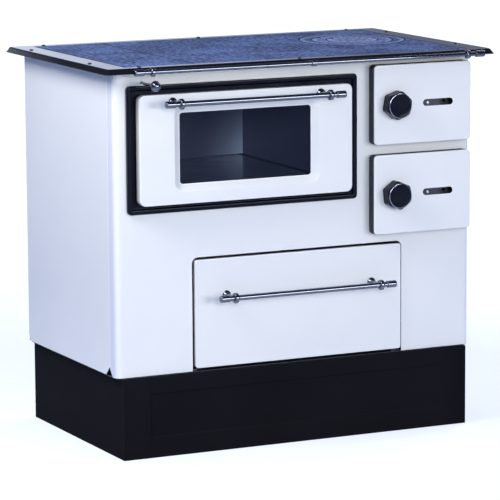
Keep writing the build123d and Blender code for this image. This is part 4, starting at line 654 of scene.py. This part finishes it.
OVEN_DOOR = outline(-383.5, 123.5, 551.5, 788.5, 13)
WINDOW_X, WINDOW_Z, PANE_Y = -130, 670, -16
FOLD_Y, FOLD_Z = -20, 552  # the lug slots lie in the lower fold, behind and below these
HINGES, HINGE_HALF = (-334.5, 74.5), 4.0
rows = lofted([(*OVEN_DOOR, -6.5), (*OVEN_DOOR, OVEN_FACE),
               (WINDOW_X, WINDOW_Z, 172.5, 92.5, 21, OVEN_FACE),
               (WINDOW_X, WINDOW_Z, 158.5, 78.5, 9, PANE_Y),
               (WINDOW_X, WINDOW_Z, 156.5, 76.5, 7, PANE_Y)], (2.6, 1.6, 1.0))
marks = [x + side * HINGE_HALF for x in HINGES for side in (-1, 1)]


def lug_slot(middle):
    """True for the faces of the door's lower fold that the hinge lugs pass through."""
    near = np.abs(middle[:, :1] - np.array(HINGES)).min(1) < HINGE_HALF
    return near & (middle[:, 1] > FOLD_Y) & (middle[:, 2] < FOLD_Z)


piece("oven_door_front",
      [sheet_of(upright(rows, marks=marks), (WINDOW_X, -2, 560), dropped=lug_slot)],
      "oven_door", "white_enamel", ("oven_door_panel",), SHEET)

# ---- black frame of the oven ----
OVEN_FRAME = outline(-404.5, 144.5, 532, 808, 9)
OVEN_MOUTH = outline(-339.5, 79.5, 575, 771, 1)
BEAD_Y, FLAT_Y = -9, -3  # the frame's raised bead and the flat inside it
rows = lofted([(*OVEN_FRAME, 0), (*OVEN_FRAME, BEAD_Y), (*inset(OVEN_FRAME, 10), BEAD_Y),
               (*inset(OVEN_FRAME, 11.5), FLAT_Y), (*OVEN_MOUTH, FLAT_Y), (*OVEN_MOUTH, 0)],
              (0.4, 2.6, 2.2, 1.6, 0.6, 0.4), closed=True)
frame_shell = sheet_of(upright(rows), (WINDOW_X, -1.5, 540), closed_rows=True)
EYE_Y, EYE_Z, EYE_R = -15, 558, 6.5  # round end of a hinge lug
eye = np.radians(np.linspace(90, 270, 17))
lug = np.vstack((np.column_stack((EYE_Y + EYE_R * np.cos(eye), EYE_Z + EYE_R * np.sin(eye))),
                 ((FLAT_Y, EYE_Z - EYE_R), (FLAT_Y, EYE_Z + EYE_R))))
lugs = [side_plate(lug, x - 2.5, x + 2.5, 0.4) for x in HINGES]
piece("oven_surround", [frame_shell, *lugs], "stove", "black_enamel", ("oven_frame",))

# ---- plinth ----
PLINTH_HALF, PLINTH_TOP, PLINTH_Y = 419.5, 178.0, -8.0
EMBOSS_X, EMBOSS_LOW, EMBOSS_HIGH = 357.5, 44.0, 142.0
EMBOSS_RISE, EMBOSS_SLOPE = 2.0, 3.0


def plinth_sheet():
    """Front of the plinth as a function of x and of the run up its section: foot fold, face, top
    fold. The face is pushed back inside a rectangle by a smooth step of the distance to its
    edge."""
    section = eased([(25, 0), (PLINTH_Y, 0), (PLINTH_Y, PLINTH_TOP), (14, PLINTH_TOP)],
                    (2.0, 1.6), steps=6)
    step = np.linspace(-0.4, EMBOSS_SLOPE + 0.4, 9)
    face_z = np.concatenate((EMBOSS_LOW + step, EMBOSS_HIGH - step[::-1]))
    face = np.column_stack((np.full(len(face_z), PLINTH_Y), face_z))
    half = len(section) // 2
    section = np.concatenate((section[:half], face, section[half:]))
    x_edge = np.concatenate((EMBOSS_X - step[::-1], [PLINTH_HALF]))
    x = np.concatenate((-x_edge[::-1], x_edge))
    y, z = section[:, :1], section[:, 1:]
    inside = np.minimum(EMBOSS_X - np.abs(x)[None], np.minimum(z - EMBOSS_LOW, EMBOSS_HIGH - z))
    t = np.clip(inside / EMBOSS_SLOPE, 0, 1)
    pressed = y + EMBOSS_RISE * t * t * (3 - 2 * t)
    points = np.stack(np.broadcast_arrays(x[None], pressed, z), -1)
    return sheet_of(points, (0, 60, PLINTH_TOP / 2), closed_columns=False)


piece("plinth_face", [plinth_sheet()], "stove", "plinth_enamel", ("plinth_front",), SHEET)

# ---- top frame and hob ----
TOP, STEP_Z, PLATE_LOW, LEDGE_LOW, FRAME_LOW, LIP_LOW = 850.0, 846.0, 842.0, 838.0, 847.0, 838.0
SEAT = outline(-413.5, 413.5, -20.5, 490.5, 0.8)  # the plates lie in it
LEDGE = outline(-401.5, 401.5, 3.5, 478.5, 0.8)
SEAT_WALL = outline(-416.5, 416.5, -23.5, 493.5, 0.8)
rows = lofted([(*SEAT, TOP), (*SEAT, PLATE_LOW), (*LEDGE, PLATE_LOW), (*LEDGE, LEDGE_LOW),
               (*SEAT_WALL, LEDGE_LOW), (*SEAT_WALL, FRAME_LOW),
               (*outline(-459, 459, -38, 513, 4.5), FRAME_LOW),
               (*outline(-466, 466, -45, 520, 4.5), LIP_LOW),
               (*outline(-469, 469, -48, 523, 6), LIP_LOW),
               (*outline(-462, 462, -41, 516, 6), TOP)],
              (0.9, 0.4, 0.4, 0.4, 0.4, 0.4, 1.0, 0.5, 0.7, 2.2), closed=True)
piece("hob_frame", [sheet_of(level(rows), (0, -30, 848), closed_rows=True)], "stove",
      "frame_enamel", ("top_frame",))


def round_hole(radius):
    """Outline of a circle about the middle of the rings."""
    return (RING_X, RING_Y, radius, radius, radius)


MAIN_PLATE = outline(-251.2, 412, -19, 489, 1.2)
HOLE, STEP_IN = round_hole(RING_JOINTS[0]), round_hole(RING_JOINTS[0] - 5)
rows = lofted([(*MAIN_PLATE, PLATE_LOW), (*MAIN_PLATE, TOP), (*HOLE, TOP), (*HOLE, STEP_Z),
               (*STEP_IN, STEP_Z), (*STEP_IN, PLATE_LOW)],
              (0.4, 0.8, 0.6, 0.3, 0.3, 0.3), closed=True, steps=3)
piece("hob_plate_right", [sheet_of(level(rows, steps=24), (60, 0, STEP_Z), closed_rows=True)],
      "stove", "hot_plate_iron", ("main_hot_plate",))

LEFT_PLATE = outline(-411.5, -252.8, -19, 489, 1.2)
rows = lofted([(*inset(LEFT_PLATE, 6), PLATE_LOW), (*LEFT_PLATE, PLATE_LOW), (*LEFT_PLATE, TOP),
               (*inset(LEFT_PLATE, 6), TOP)], (0.4, 0.8), steps=3)
piece("hob_plate_left", [sheet_of(level(rows), (-330, 200, STEP_Z), caps=(0, -1))], "stove",
      "hot_plate_iron", ("left_hot_plate",))


def apart(angle, other):
    """Size of the smaller angle between two directions."""
    return np.abs((angle - other + np.pi) % (2 * np.pi) - np.pi)


def hob_disc(outer, hole, notches):
    """Ring or lid of the hob, turned about its middle, with pockets for the lifting hook at the
    angles in notches. The upper half hangs by a step; in a pocket the top is lowered as a
    function of radius and angle."""
    step, gap, pocket_depth, pocket_half, pocket_z = 5.0, 0.4, 9.0, 7.5, 847.0
    rim, pocket_r = outer - gap, outer - pocket_depth
    head = eased([(PLATE_LOW, rim - step), (STEP_Z, rim - step), (STEP_Z, rim), (TOP, rim),
                  (TOP, pocket_r + 0.2)], (0.3, 0.3, 0.7), steps=3)
    pocket_end = (TOP, pocket_r - 0.2)
    if hole:
        tail = eased([pocket_end, (TOP, hole), (STEP_Z, hole), (STEP_Z, hole - step),
                      (PLATE_LOW, hole - step)], (0.6, 0.3, 0.3), steps=3)
        rows = np.vstack((head, tail))
    else:
        rows = np.vstack(([(PLATE_LOW, 0)], head, [pocket_end, (TOP, 8), (TOP, 0)]))
    angle = np.linspace(0, 2 * np.pi, 96, endpoint=False)
    half = pocket_half / (outer - pocket_depth / 2)
    middles = [math.radians(turn) % (2 * math.pi) for turn in notches]
    across = np.array((-half - 0.003, -half, -half * 0.3, half * 0.3, half, half + 0.003))
    for middle in middles:
        clear = apart(angle, middle) > half + 0.02
        angle = np.sort(np.concatenate((angle[clear], (across + middle) % (2 * np.pi))))
    inside = np.zeros(len(angle), bool)
    for middle in middles:
        inside |= apart(angle, middle) < half + 0.001
    height, radius = rows[:, :1], rows[:, 1:]
    height = np.where(inside[None] & (radius > pocket_r), np.minimum(height, pocket_z), height)
    x, y = RING_X + radius * np.cos(angle), RING_Y + radius * np.sin(angle)
    return sheet_of(np.stack((x, y, height), -1), (RING_X, RING_Y, STEP_Z), closed_rows=bool(hole))


outer_r, inner_r, lid_r = RING_JOINTS
for name, node_name, sizes, body in (
        ("hob_ring_wide", "hob_ring_outer", (outer_r, inner_r, ()), "ring_outer"),
        ("hob_ring_narrow", "hob_ring_inner", (inner_r, lid_r, (120.0, -60.0)), "ring_inner"),
        ("hob_middle", "hob_lid", (lid_r, 0.0, (120.0,)), "ring_lid")):
    piece(name, [hob_disc(*sizes)], body, "hot_plate_iron", (node_name,))

# ---- bars, handles, screws ----
CAP_LENGTH = 25.5


def end_cap(start, sign, centre, bar_r, cap_r):
    """Turned end of a bar: a neck, then a thicker barrel with a rounded end."""
    section = eased([(0, bar_r), (4, bar_r), (4, cap_r), (CAP_LENGTH, cap_r), (CAP_LENGTH, 0)],
                    (0.3, 1.0, 2.2))
    section = np.vstack(([(0, 0)], section))
    section[:, 0] = start + sign * section[:, 0]
    return turned(section, "x", centre, 28)


def bar_collar(middle, centre, radius, width, bar_r):
    """Ring that the bar passes through, its edges rounded off."""
    half = width / 2
    section = eased([(-half, bar_r), (-half, radius), (half, radius), (half, bar_r)],
                    ((radius - bar_r) * 0.48,) * 2, steps=6)
    section = np.vstack((section, section[:1]))
    section[:, 0] += middle
    return turned(section, "x", centre, 32)


def stem_and_foot(x, y_bar, y_foot, z, bar_r, stem_r, foot_r=0.0, foot_h=0.0):
    """Stem from the bar's collar back to a foot that swells smoothly onto the panel."""
    start = y_bar + bar_r + 1
    if not foot_r:
        return turned([(start, 0), (start, stem_r), (y_foot, stem_r), (y_foot, 0)], "y",
                      (x, 0, z), 24)
    section = eased([(start, 0), (start, stem_r), (y_foot - foot_h, stem_r),
                     (y_foot - foot_h * 0.55, foot_r * 0.92), (y_foot, foot_r), (y_foot, 0)],
                    (0.3, 1.6, 1.4, 0.3))
    return turned(section, "y", (x, 0, z), 32)


def pull_fittings(x0, x1, y_face, z):
    """End caps, collars, stems and feet of a pull handle."""
    reach, bar_r, collar_in = 46, 6.0, 36.5
    y = y_face - reach
    centre = (0, y, z)
    shells = []
    for end, sign in ((x0, -1), (x1, 1)):
        collar_x = end - sign * collar_in
        shells += [end_cap(end - sign * CAP_LENGTH, sign, centre, bar_r, 7.8),
                   bar_collar(collar_x, centre, 11.5, 9, bar_r),
                   stem_and_foot(collar_x, y, y_face, z, bar_r, 4.5, 10, 5)]
    return shells


piece("oven_handle_ends", pull_fittings(-343, 83, OVEN_FACE, 772), "oven_door", "chrome",
      ("oven_handle_fittings",))
piece("drawer_handle_ends", pull_fittings(-210.5, 216.5, DRAWER_FACE, 343), "drawer", "chrome",
      ("drawer_handle_fittings",))

RAIL_Y, RAIL_Z, RAIL_R, STEM_END = -84.0, 844.5, 5.0, -30
rail_centre = (0, RAIL_Y, RAIL_Z)
shells = [bar_collar(0, rail_centre, 6.8, 12, RAIL_R),
          stem_and_foot(0, RAIL_Y, STEM_END, RAIL_Z, RAIL_R, 3.5)]
for sign in (-1, 1):
    x = sign * 378
    shells += [end_cap(sign * 394, sign, rail_centre, RAIL_R, 7.2),
               bar_collar(x, rail_centre, 9.6, 9, RAIL_R),
               stem_and_foot(x, RAIL_Y, STEM_END, RAIL_Z, RAIL_R, 3.5)]
piece("rail_ends", shells, "stove", "chrome", ("rail_fittings",))


def dome_head(axis, base, centre, shank):
    """Screw: a round head as a flattened arc, and its shank."""
    radius, height, shank_r = 4.5, 2.2, 2.5
    t = np.radians(np.linspace(90, 8, 8))
    head = np.column_stack((height * np.sin(t), radius * np.cos(t)))
    section = np.vstack(([(height, 0)], head,
                         [(0, radius), (0, shank_r), (-shank, shank_r), (-shank, 0)]))
    section[:, 0] += base
    return turned(section, axis, centre, 20)


SIDE_SCREWS = [(x, y) for x in (-447, 447) for y in (90, 420)]
BACK_SCREWS = [(x, 503) for x in (-384, 0, 384)]
FRONT_SCREWS = [(x, -30) for x in (-385, -7, 385)]
FLANGE_X, FLANGE_Y, FLANGE_Z, FLANGE_R = -130, 504, 720, 71
shells = [dome_head("z", TOP, (x, y, 0), 3) for x, y in SIDE_SCREWS + BACK_SCREWS + FRONT_SCREWS]
for turn in (45, 135, 225, 315):
    centre = (FLANGE_X + FLANGE_R * math.cos(math.radians(turn)), 0,
              FLANGE_Z + FLANGE_R * math.sin(math.radians(turn)))
    shells.append(dome_head("y", FLANGE_Y, centre, 4))
piece("case_screw_heads", shells, "stove", "blued_steel", ("case_screws",))


# ---- knobs ----
def knob(z, turn):
    """Six-sided knob. At each depth its radius is the smaller, smoothly joined, of a hexagon with
    rounded corners and a cone that closes onto the round face; the face is dished inside its
    rim."""
    flat_half, corner_r, y_back, length, face_r, bevel, rim = 28.5, 7.0, -31.5, 28.5, 28.4, 5.5, 1.7
    blend = 1.0
    sixth = np.pi / 6
    angle = np.linspace(0, 2 * np.pi, 144, endpoint=False)
    folded = (angle - math.radians(turn) + sixth) % (np.pi / 3) - sixth
    flat_r = flat_half / np.cos(folded)
    corner_c = (flat_half - corner_r) / math.cos(sixth)
    off = sixth - np.abs(folded)
    arc_r = corner_c * np.cos(off) + np.sqrt(
        np.maximum(corner_r ** 2 - (corner_c * np.sin(off)) ** 2, 0))
    tangent = np.arctan2((flat_half - corner_r) * math.tan(sixth), flat_half)
    hexagon = np.where(np.abs(folded) > tangent, arc_r, flat_r)
    depth = np.concatenate(([0, 0.25, 0.8, 1.4], np.linspace(2.5, length - bevel - 3, 4),
                            np.linspace(length - bevel - 2.2, length - rim, 14)))
    shrink = np.concatenate(([1.1, 0.45, 0.1, 0], np.zeros(18)))
    cone = face_r + (length - rim - depth) * 1.25
    wide, narrow = hexagon[None] - shrink[:, None], cone[:, None]
    sides = 0.5 * (wide + narrow - np.sqrt((wide - narrow) ** 2 + blend ** 2))
    t = np.linspace(0.12, 1, 8)[:, None] * np.pi / 2
    over = sides[-1][None] - rim * (1 - np.cos(t))
    over_depth = length - rim + rim * np.sin(t)
    face = np.array([(25.2, length), (24.7, length - 0.12), (24.2, length - 0.45),
                     (23.2, length - 0.6), (16, length - 0.75), (8, length - 0.85),
                     (0, length - 0.9)])
    radius = np.vstack((np.zeros((1, len(angle))), sides, over,
                        np.broadcast_to(face[:, :1], (len(face), len(angle)))))
    front = np.concatenate(([0], depth, over_depth[:, 0], face[:, 1]))
    y = np.broadcast_to((y_back - front)[:, None], radius.shape)
    points = np.stack((KNOB_X + radius * np.cos(angle), y, z + radius * np.sin(angle)), -1)
    return sheet_of(points, (KNOB_X, y_back - length / 2, z))


for (door, z), turn in zip(DOORS, (-10.7, 6.3)):
    piece(f"{door}_knob_body", [knob(z, turn)], f"{door}_knob", f"{door}_knob",
          (f"{door}_door_knob",))

# ---- air sliders ----
PLATE_BACK, PLATE_FRONT, PIN_X, PIN_R, PIN_OUT = -26.8, -28.2, 308, 3.5, 4.6
for door, z in DOORS:
    plate = outline(290, 339, z - 14, z + 14, 0.6)
    rows = lofted([(*inset(plate, 4), PLATE_BACK), (*plate, PLATE_BACK), (*plate, PLATE_FRONT),
                   (*inset(plate, 4), PLATE_FRONT)], 0.3, steps=3)
    piece(f"{door}_slider_plate",
          [sheet_of(upright(rows, steps=3), (314, -27.5, z), caps=(0, -1))],
          f"{door}_slider", "blued_steel", (f"{door}_air_slider",))
    pin = eased([(0, 0), (0, PIN_R), (PIN_OUT, PIN_R), (PIN_OUT, 0)], (0.2, 1.5), steps=6)
    pin[:, 0] = PLATE_FRONT + 0.1 - pin[:, 0]
    piece(f"{door}_slider_pin", [turned(pin, "y", (PIN_X, 0, z), 28)], f"{door}_slider",
          "bright_steel")


# ---- ropes ----
def rope_loop(sizes, y_middle, half_u, half_y, pitch):
    """Plaited rope laid round a rounded rectangle: a flattened tube whose radius rises and falls
    with the strands, which turn round it once in every pitch of its length."""
    u, v = rounded_loops(np.array([sizes]), steps=10)
    path = np.column_stack((u[0], v[0]))
    closed = np.vstack((path, path[:1]))
    lengths = np.linalg.norm(np.diff(closed, axis=0), axis=1)
    run = np.concatenate(([0], np.cumsum(lengths)))
    turns = round(run[-1] / pitch)
    s = np.linspace(0, run[-1], turns * 6, endpoint=False)
    place = np.column_stack([np.interp(s, run, closed[:, i]) for i in (0, 1)])
    tangent = np.roll(place, -1, 0) - np.roll(place, 1, 0)
    tangent /= np.linalg.norm(tangent, axis=1, keepdims=True)
    outward = np.column_stack((tangent[:, 1], -tangent[:, 0]))
    phi = np.linspace(0, 2 * np.pi, 14, endpoint=False)
    wave = 2 * np.pi * turns * s[:, None] / run[-1]
    swell = 0.90 + 0.10 * np.cos(2 * phi[None] + wave) * np.cos(2 * phi[None] - wave)
    side = half_u * swell * np.cos(phi)
    points = np.stack((place[:, :1] + outward[:, :1] * side,
                       y_middle + half_y * swell * np.sin(phi),
                       place[:, 1:] + outward[:, 1:] * side), -1)
    middles = np.repeat(np.insert(place, 1, y_middle, axis=1), len(phi), 0)
    return sheet_of(points, middles, closed_rows=True)


piece("oven_rope", [rope_loop((WINDOW_X, 673, 215, 103, 5), -5.85, 3.9, 2.5, 9.0)], "oven_door",
      "rope", ("oven_door_seal",))
for door, z in DOORS:
    piece(f"{door}_rope", [rope_loop((296.5, z, 90, 68, 2.0), -7.0, 2.9, 1.95, 7.5)],
          f"{door}_door", "rope", (f"{door}_door_rope",))

# ---- floor, light, camera ----
WIDE = 40.0  # half the floor
floor_mesh = bpy.data.meshes.new("studio_floor")
floor_mesh.from_pydata([(-WIDE, -WIDE, 0), (WIDE, -WIDE, 0), (WIDE, WIDE, 0), (-WIDE, WIDE, 0)],
                       [], [(0, 1, 2, 3)])
floor = placed("studio_floor", floor_mesh)
f = Finish("studio_floor")
seen = f.add("ShaderNodeLightPath", output="Is Camera Ray")
mirrored = (f.add("ShaderNodeLightPath", output="Is Glossy Ray")
            + f.add("ShaderNodeLightPath", output="Is Transmission Ray"))
# the floor inside the plinth stays dark
PLINTH_MIDDLE_Y = 0.0178
beside = f.maths("ABSOLUTE", f.axis(f.place, "X"))
beyond = f.maths("ABSOLUTE", f.axis(f.place, "Y") - PLINTH_MIDDLE_Y)
outside = 1 - f.span(beside, 0.405, 0.415, 1.0, 0.0) * f.span(beyond, 0.240, 0.250, 1.0, 0.0)
# the shadow shows near the stove, where metal mirrors the pale floor, and the far floor is white
away = f.add("ShaderNodeVectorMath", {"operation": "LENGTH"}, (f.place,), "Value")
white = f.span(away, 1.0, 3.0, 0.64, 1.0)
near = f.span(away, 0.9, 2.2, 0.42, 0.04)
matt = f.add("ShaderNodeBsdfDiffuse", None, {"Color": colour(0.40, 0.45, 0.56)})
shining = (seen * white + mirrored * near) * outside
glow = f.add("ShaderNodeEmission", None, {"Color": colour(0.96, 0.98, 1.0), "Strength": shining})
f.show(f.add("ShaderNodeAddShader", None, (matt, glow)))
floor_mesh.materials.append(f.material)

world = bpy.data.worlds.new("studio")
bpy.context.scene.world = world
world.use_nodes = True
w = Nodes(world.node_tree)
seen = w.add("ShaderNodeLightPath", output="Is Camera Ray")
mirrored = w.add("ShaderNodeLightPath", output="Is Glossy Ray")
through = w.add("ShaderNodeLightPath", output="Is Transmission Ray")
direction = w.add("ShaderNodeTexCoord", output="Generated")
sideways, behind, above = (w.axis(direction, name) for name in "XYZ")
# mirrors see a dim room with a pale backdrop behind the stove that fades to the right
backdrop = (w.span(behind, 0.25, 0.5) * w.span(above, 0.18, 0.28, 1.0, 0.0)
            * w.span(sideways / behind, 0.40, 0.54, 1.0, 0.16))
dim = w.mixed(colour(0.05, 0.055, 0.075), colour(0.14, 0.15, 0.19), w.span(above, 0.35, 0.95))
room = w.mixed(dim, colour(0.86, 0.93, 1.10), backdrop)
soft = w.mixed(colour(0.215, 0.275, 0.465), colour(0.165, 0.245, 0.51), w.span(behind, -0.4, 0.4))
lit = w.mixed(soft, room, mirrored)
final = w.mixed(lit, colour(1, 1, 1), w.maths("MAXIMUM", seen, through))
w.show(w.add("ShaderNodeBackground", None, (final, 1.0)), "ShaderNodeOutputWorld")


def lamp(name, place, aim, width, height, watts, tint=(1.0, 0.98, 0.96)):
    """Rectangular soft lamp at place, turned towards aim, in metres."""
    data = bpy.data.lights.new(name, "AREA")
    data.shape = "RECTANGLE"
    data.size, data.size_y, data.energy = width, height, watts
    data.color = tint
    made = placed(name, data)
    made.location = place
    made.rotation_mode = "QUATERNION"
    made.rotation_quaternion = (Vector(aim) - Vector(place)).to_track_quat("-Z", "Y")


lamp("key_softbox", (-1.8, -5.6, 2.0), (0.0, 0.0, 0.4), 2.2, 1.4, 112, (0.96, 0.98, 1.0))
lamp("right_softbox", (1.9, -6.0, 1.3), (0.0, 0.0, 0.55), 2.6, 1.3, 135, (1.0, 0.98, 0.92))
lamp("left_softbox", (-1.45, -0.50, 1.8), (-0.4, 0.0, 0.7), 0.8, 0.8, 33)
lamp("rear_softbox", (2.7, 1.2, 2.5), (0.1, 0.1, 0.6), 2.0, 1.6, 50)

YAW, PITCH, ROLL = math.radians(25.796), math.radians(9.285), math.radians(-0.346)
DISTANCE, FOCAL_PX, IMAGE_PX, SENSOR = 7.238, 3207.0, 500.0, 36.0
target = Vector((0.0069, (250.0 + FRONT_Y) / 1000, 0.3901))
ahead = Vector((math.sin(YAW) * math.cos(PITCH), math.cos(YAW) * math.cos(PITCH), -math.sin(PITCH)))
right = Vector((math.cos(YAW), -math.sin(YAW), 0.0))
up = right.cross(ahead)
across = right * math.cos(ROLL) + up * math.sin(ROLL)
upward = up * math.cos(ROLL) - right * math.sin(ROLL)
camera_data = bpy.data.cameras.new("camera")
camera_data.sensor_width = SENSOR
camera_data.lens = FOCAL_PX / IMAGE_PX * SENSOR
camera_data.clip_end = 200.0
camera = placed("camera", camera_data)
turn = Matrix((across, upward, -ahead)).transposed().to_4x4()
camera.matrix_world = Matrix.Translation(target - ahead * DISTANCE) @ turn
bpy.context.scene.camera = camera
bpy.context.scene.view_settings.view_transform = "Standard"
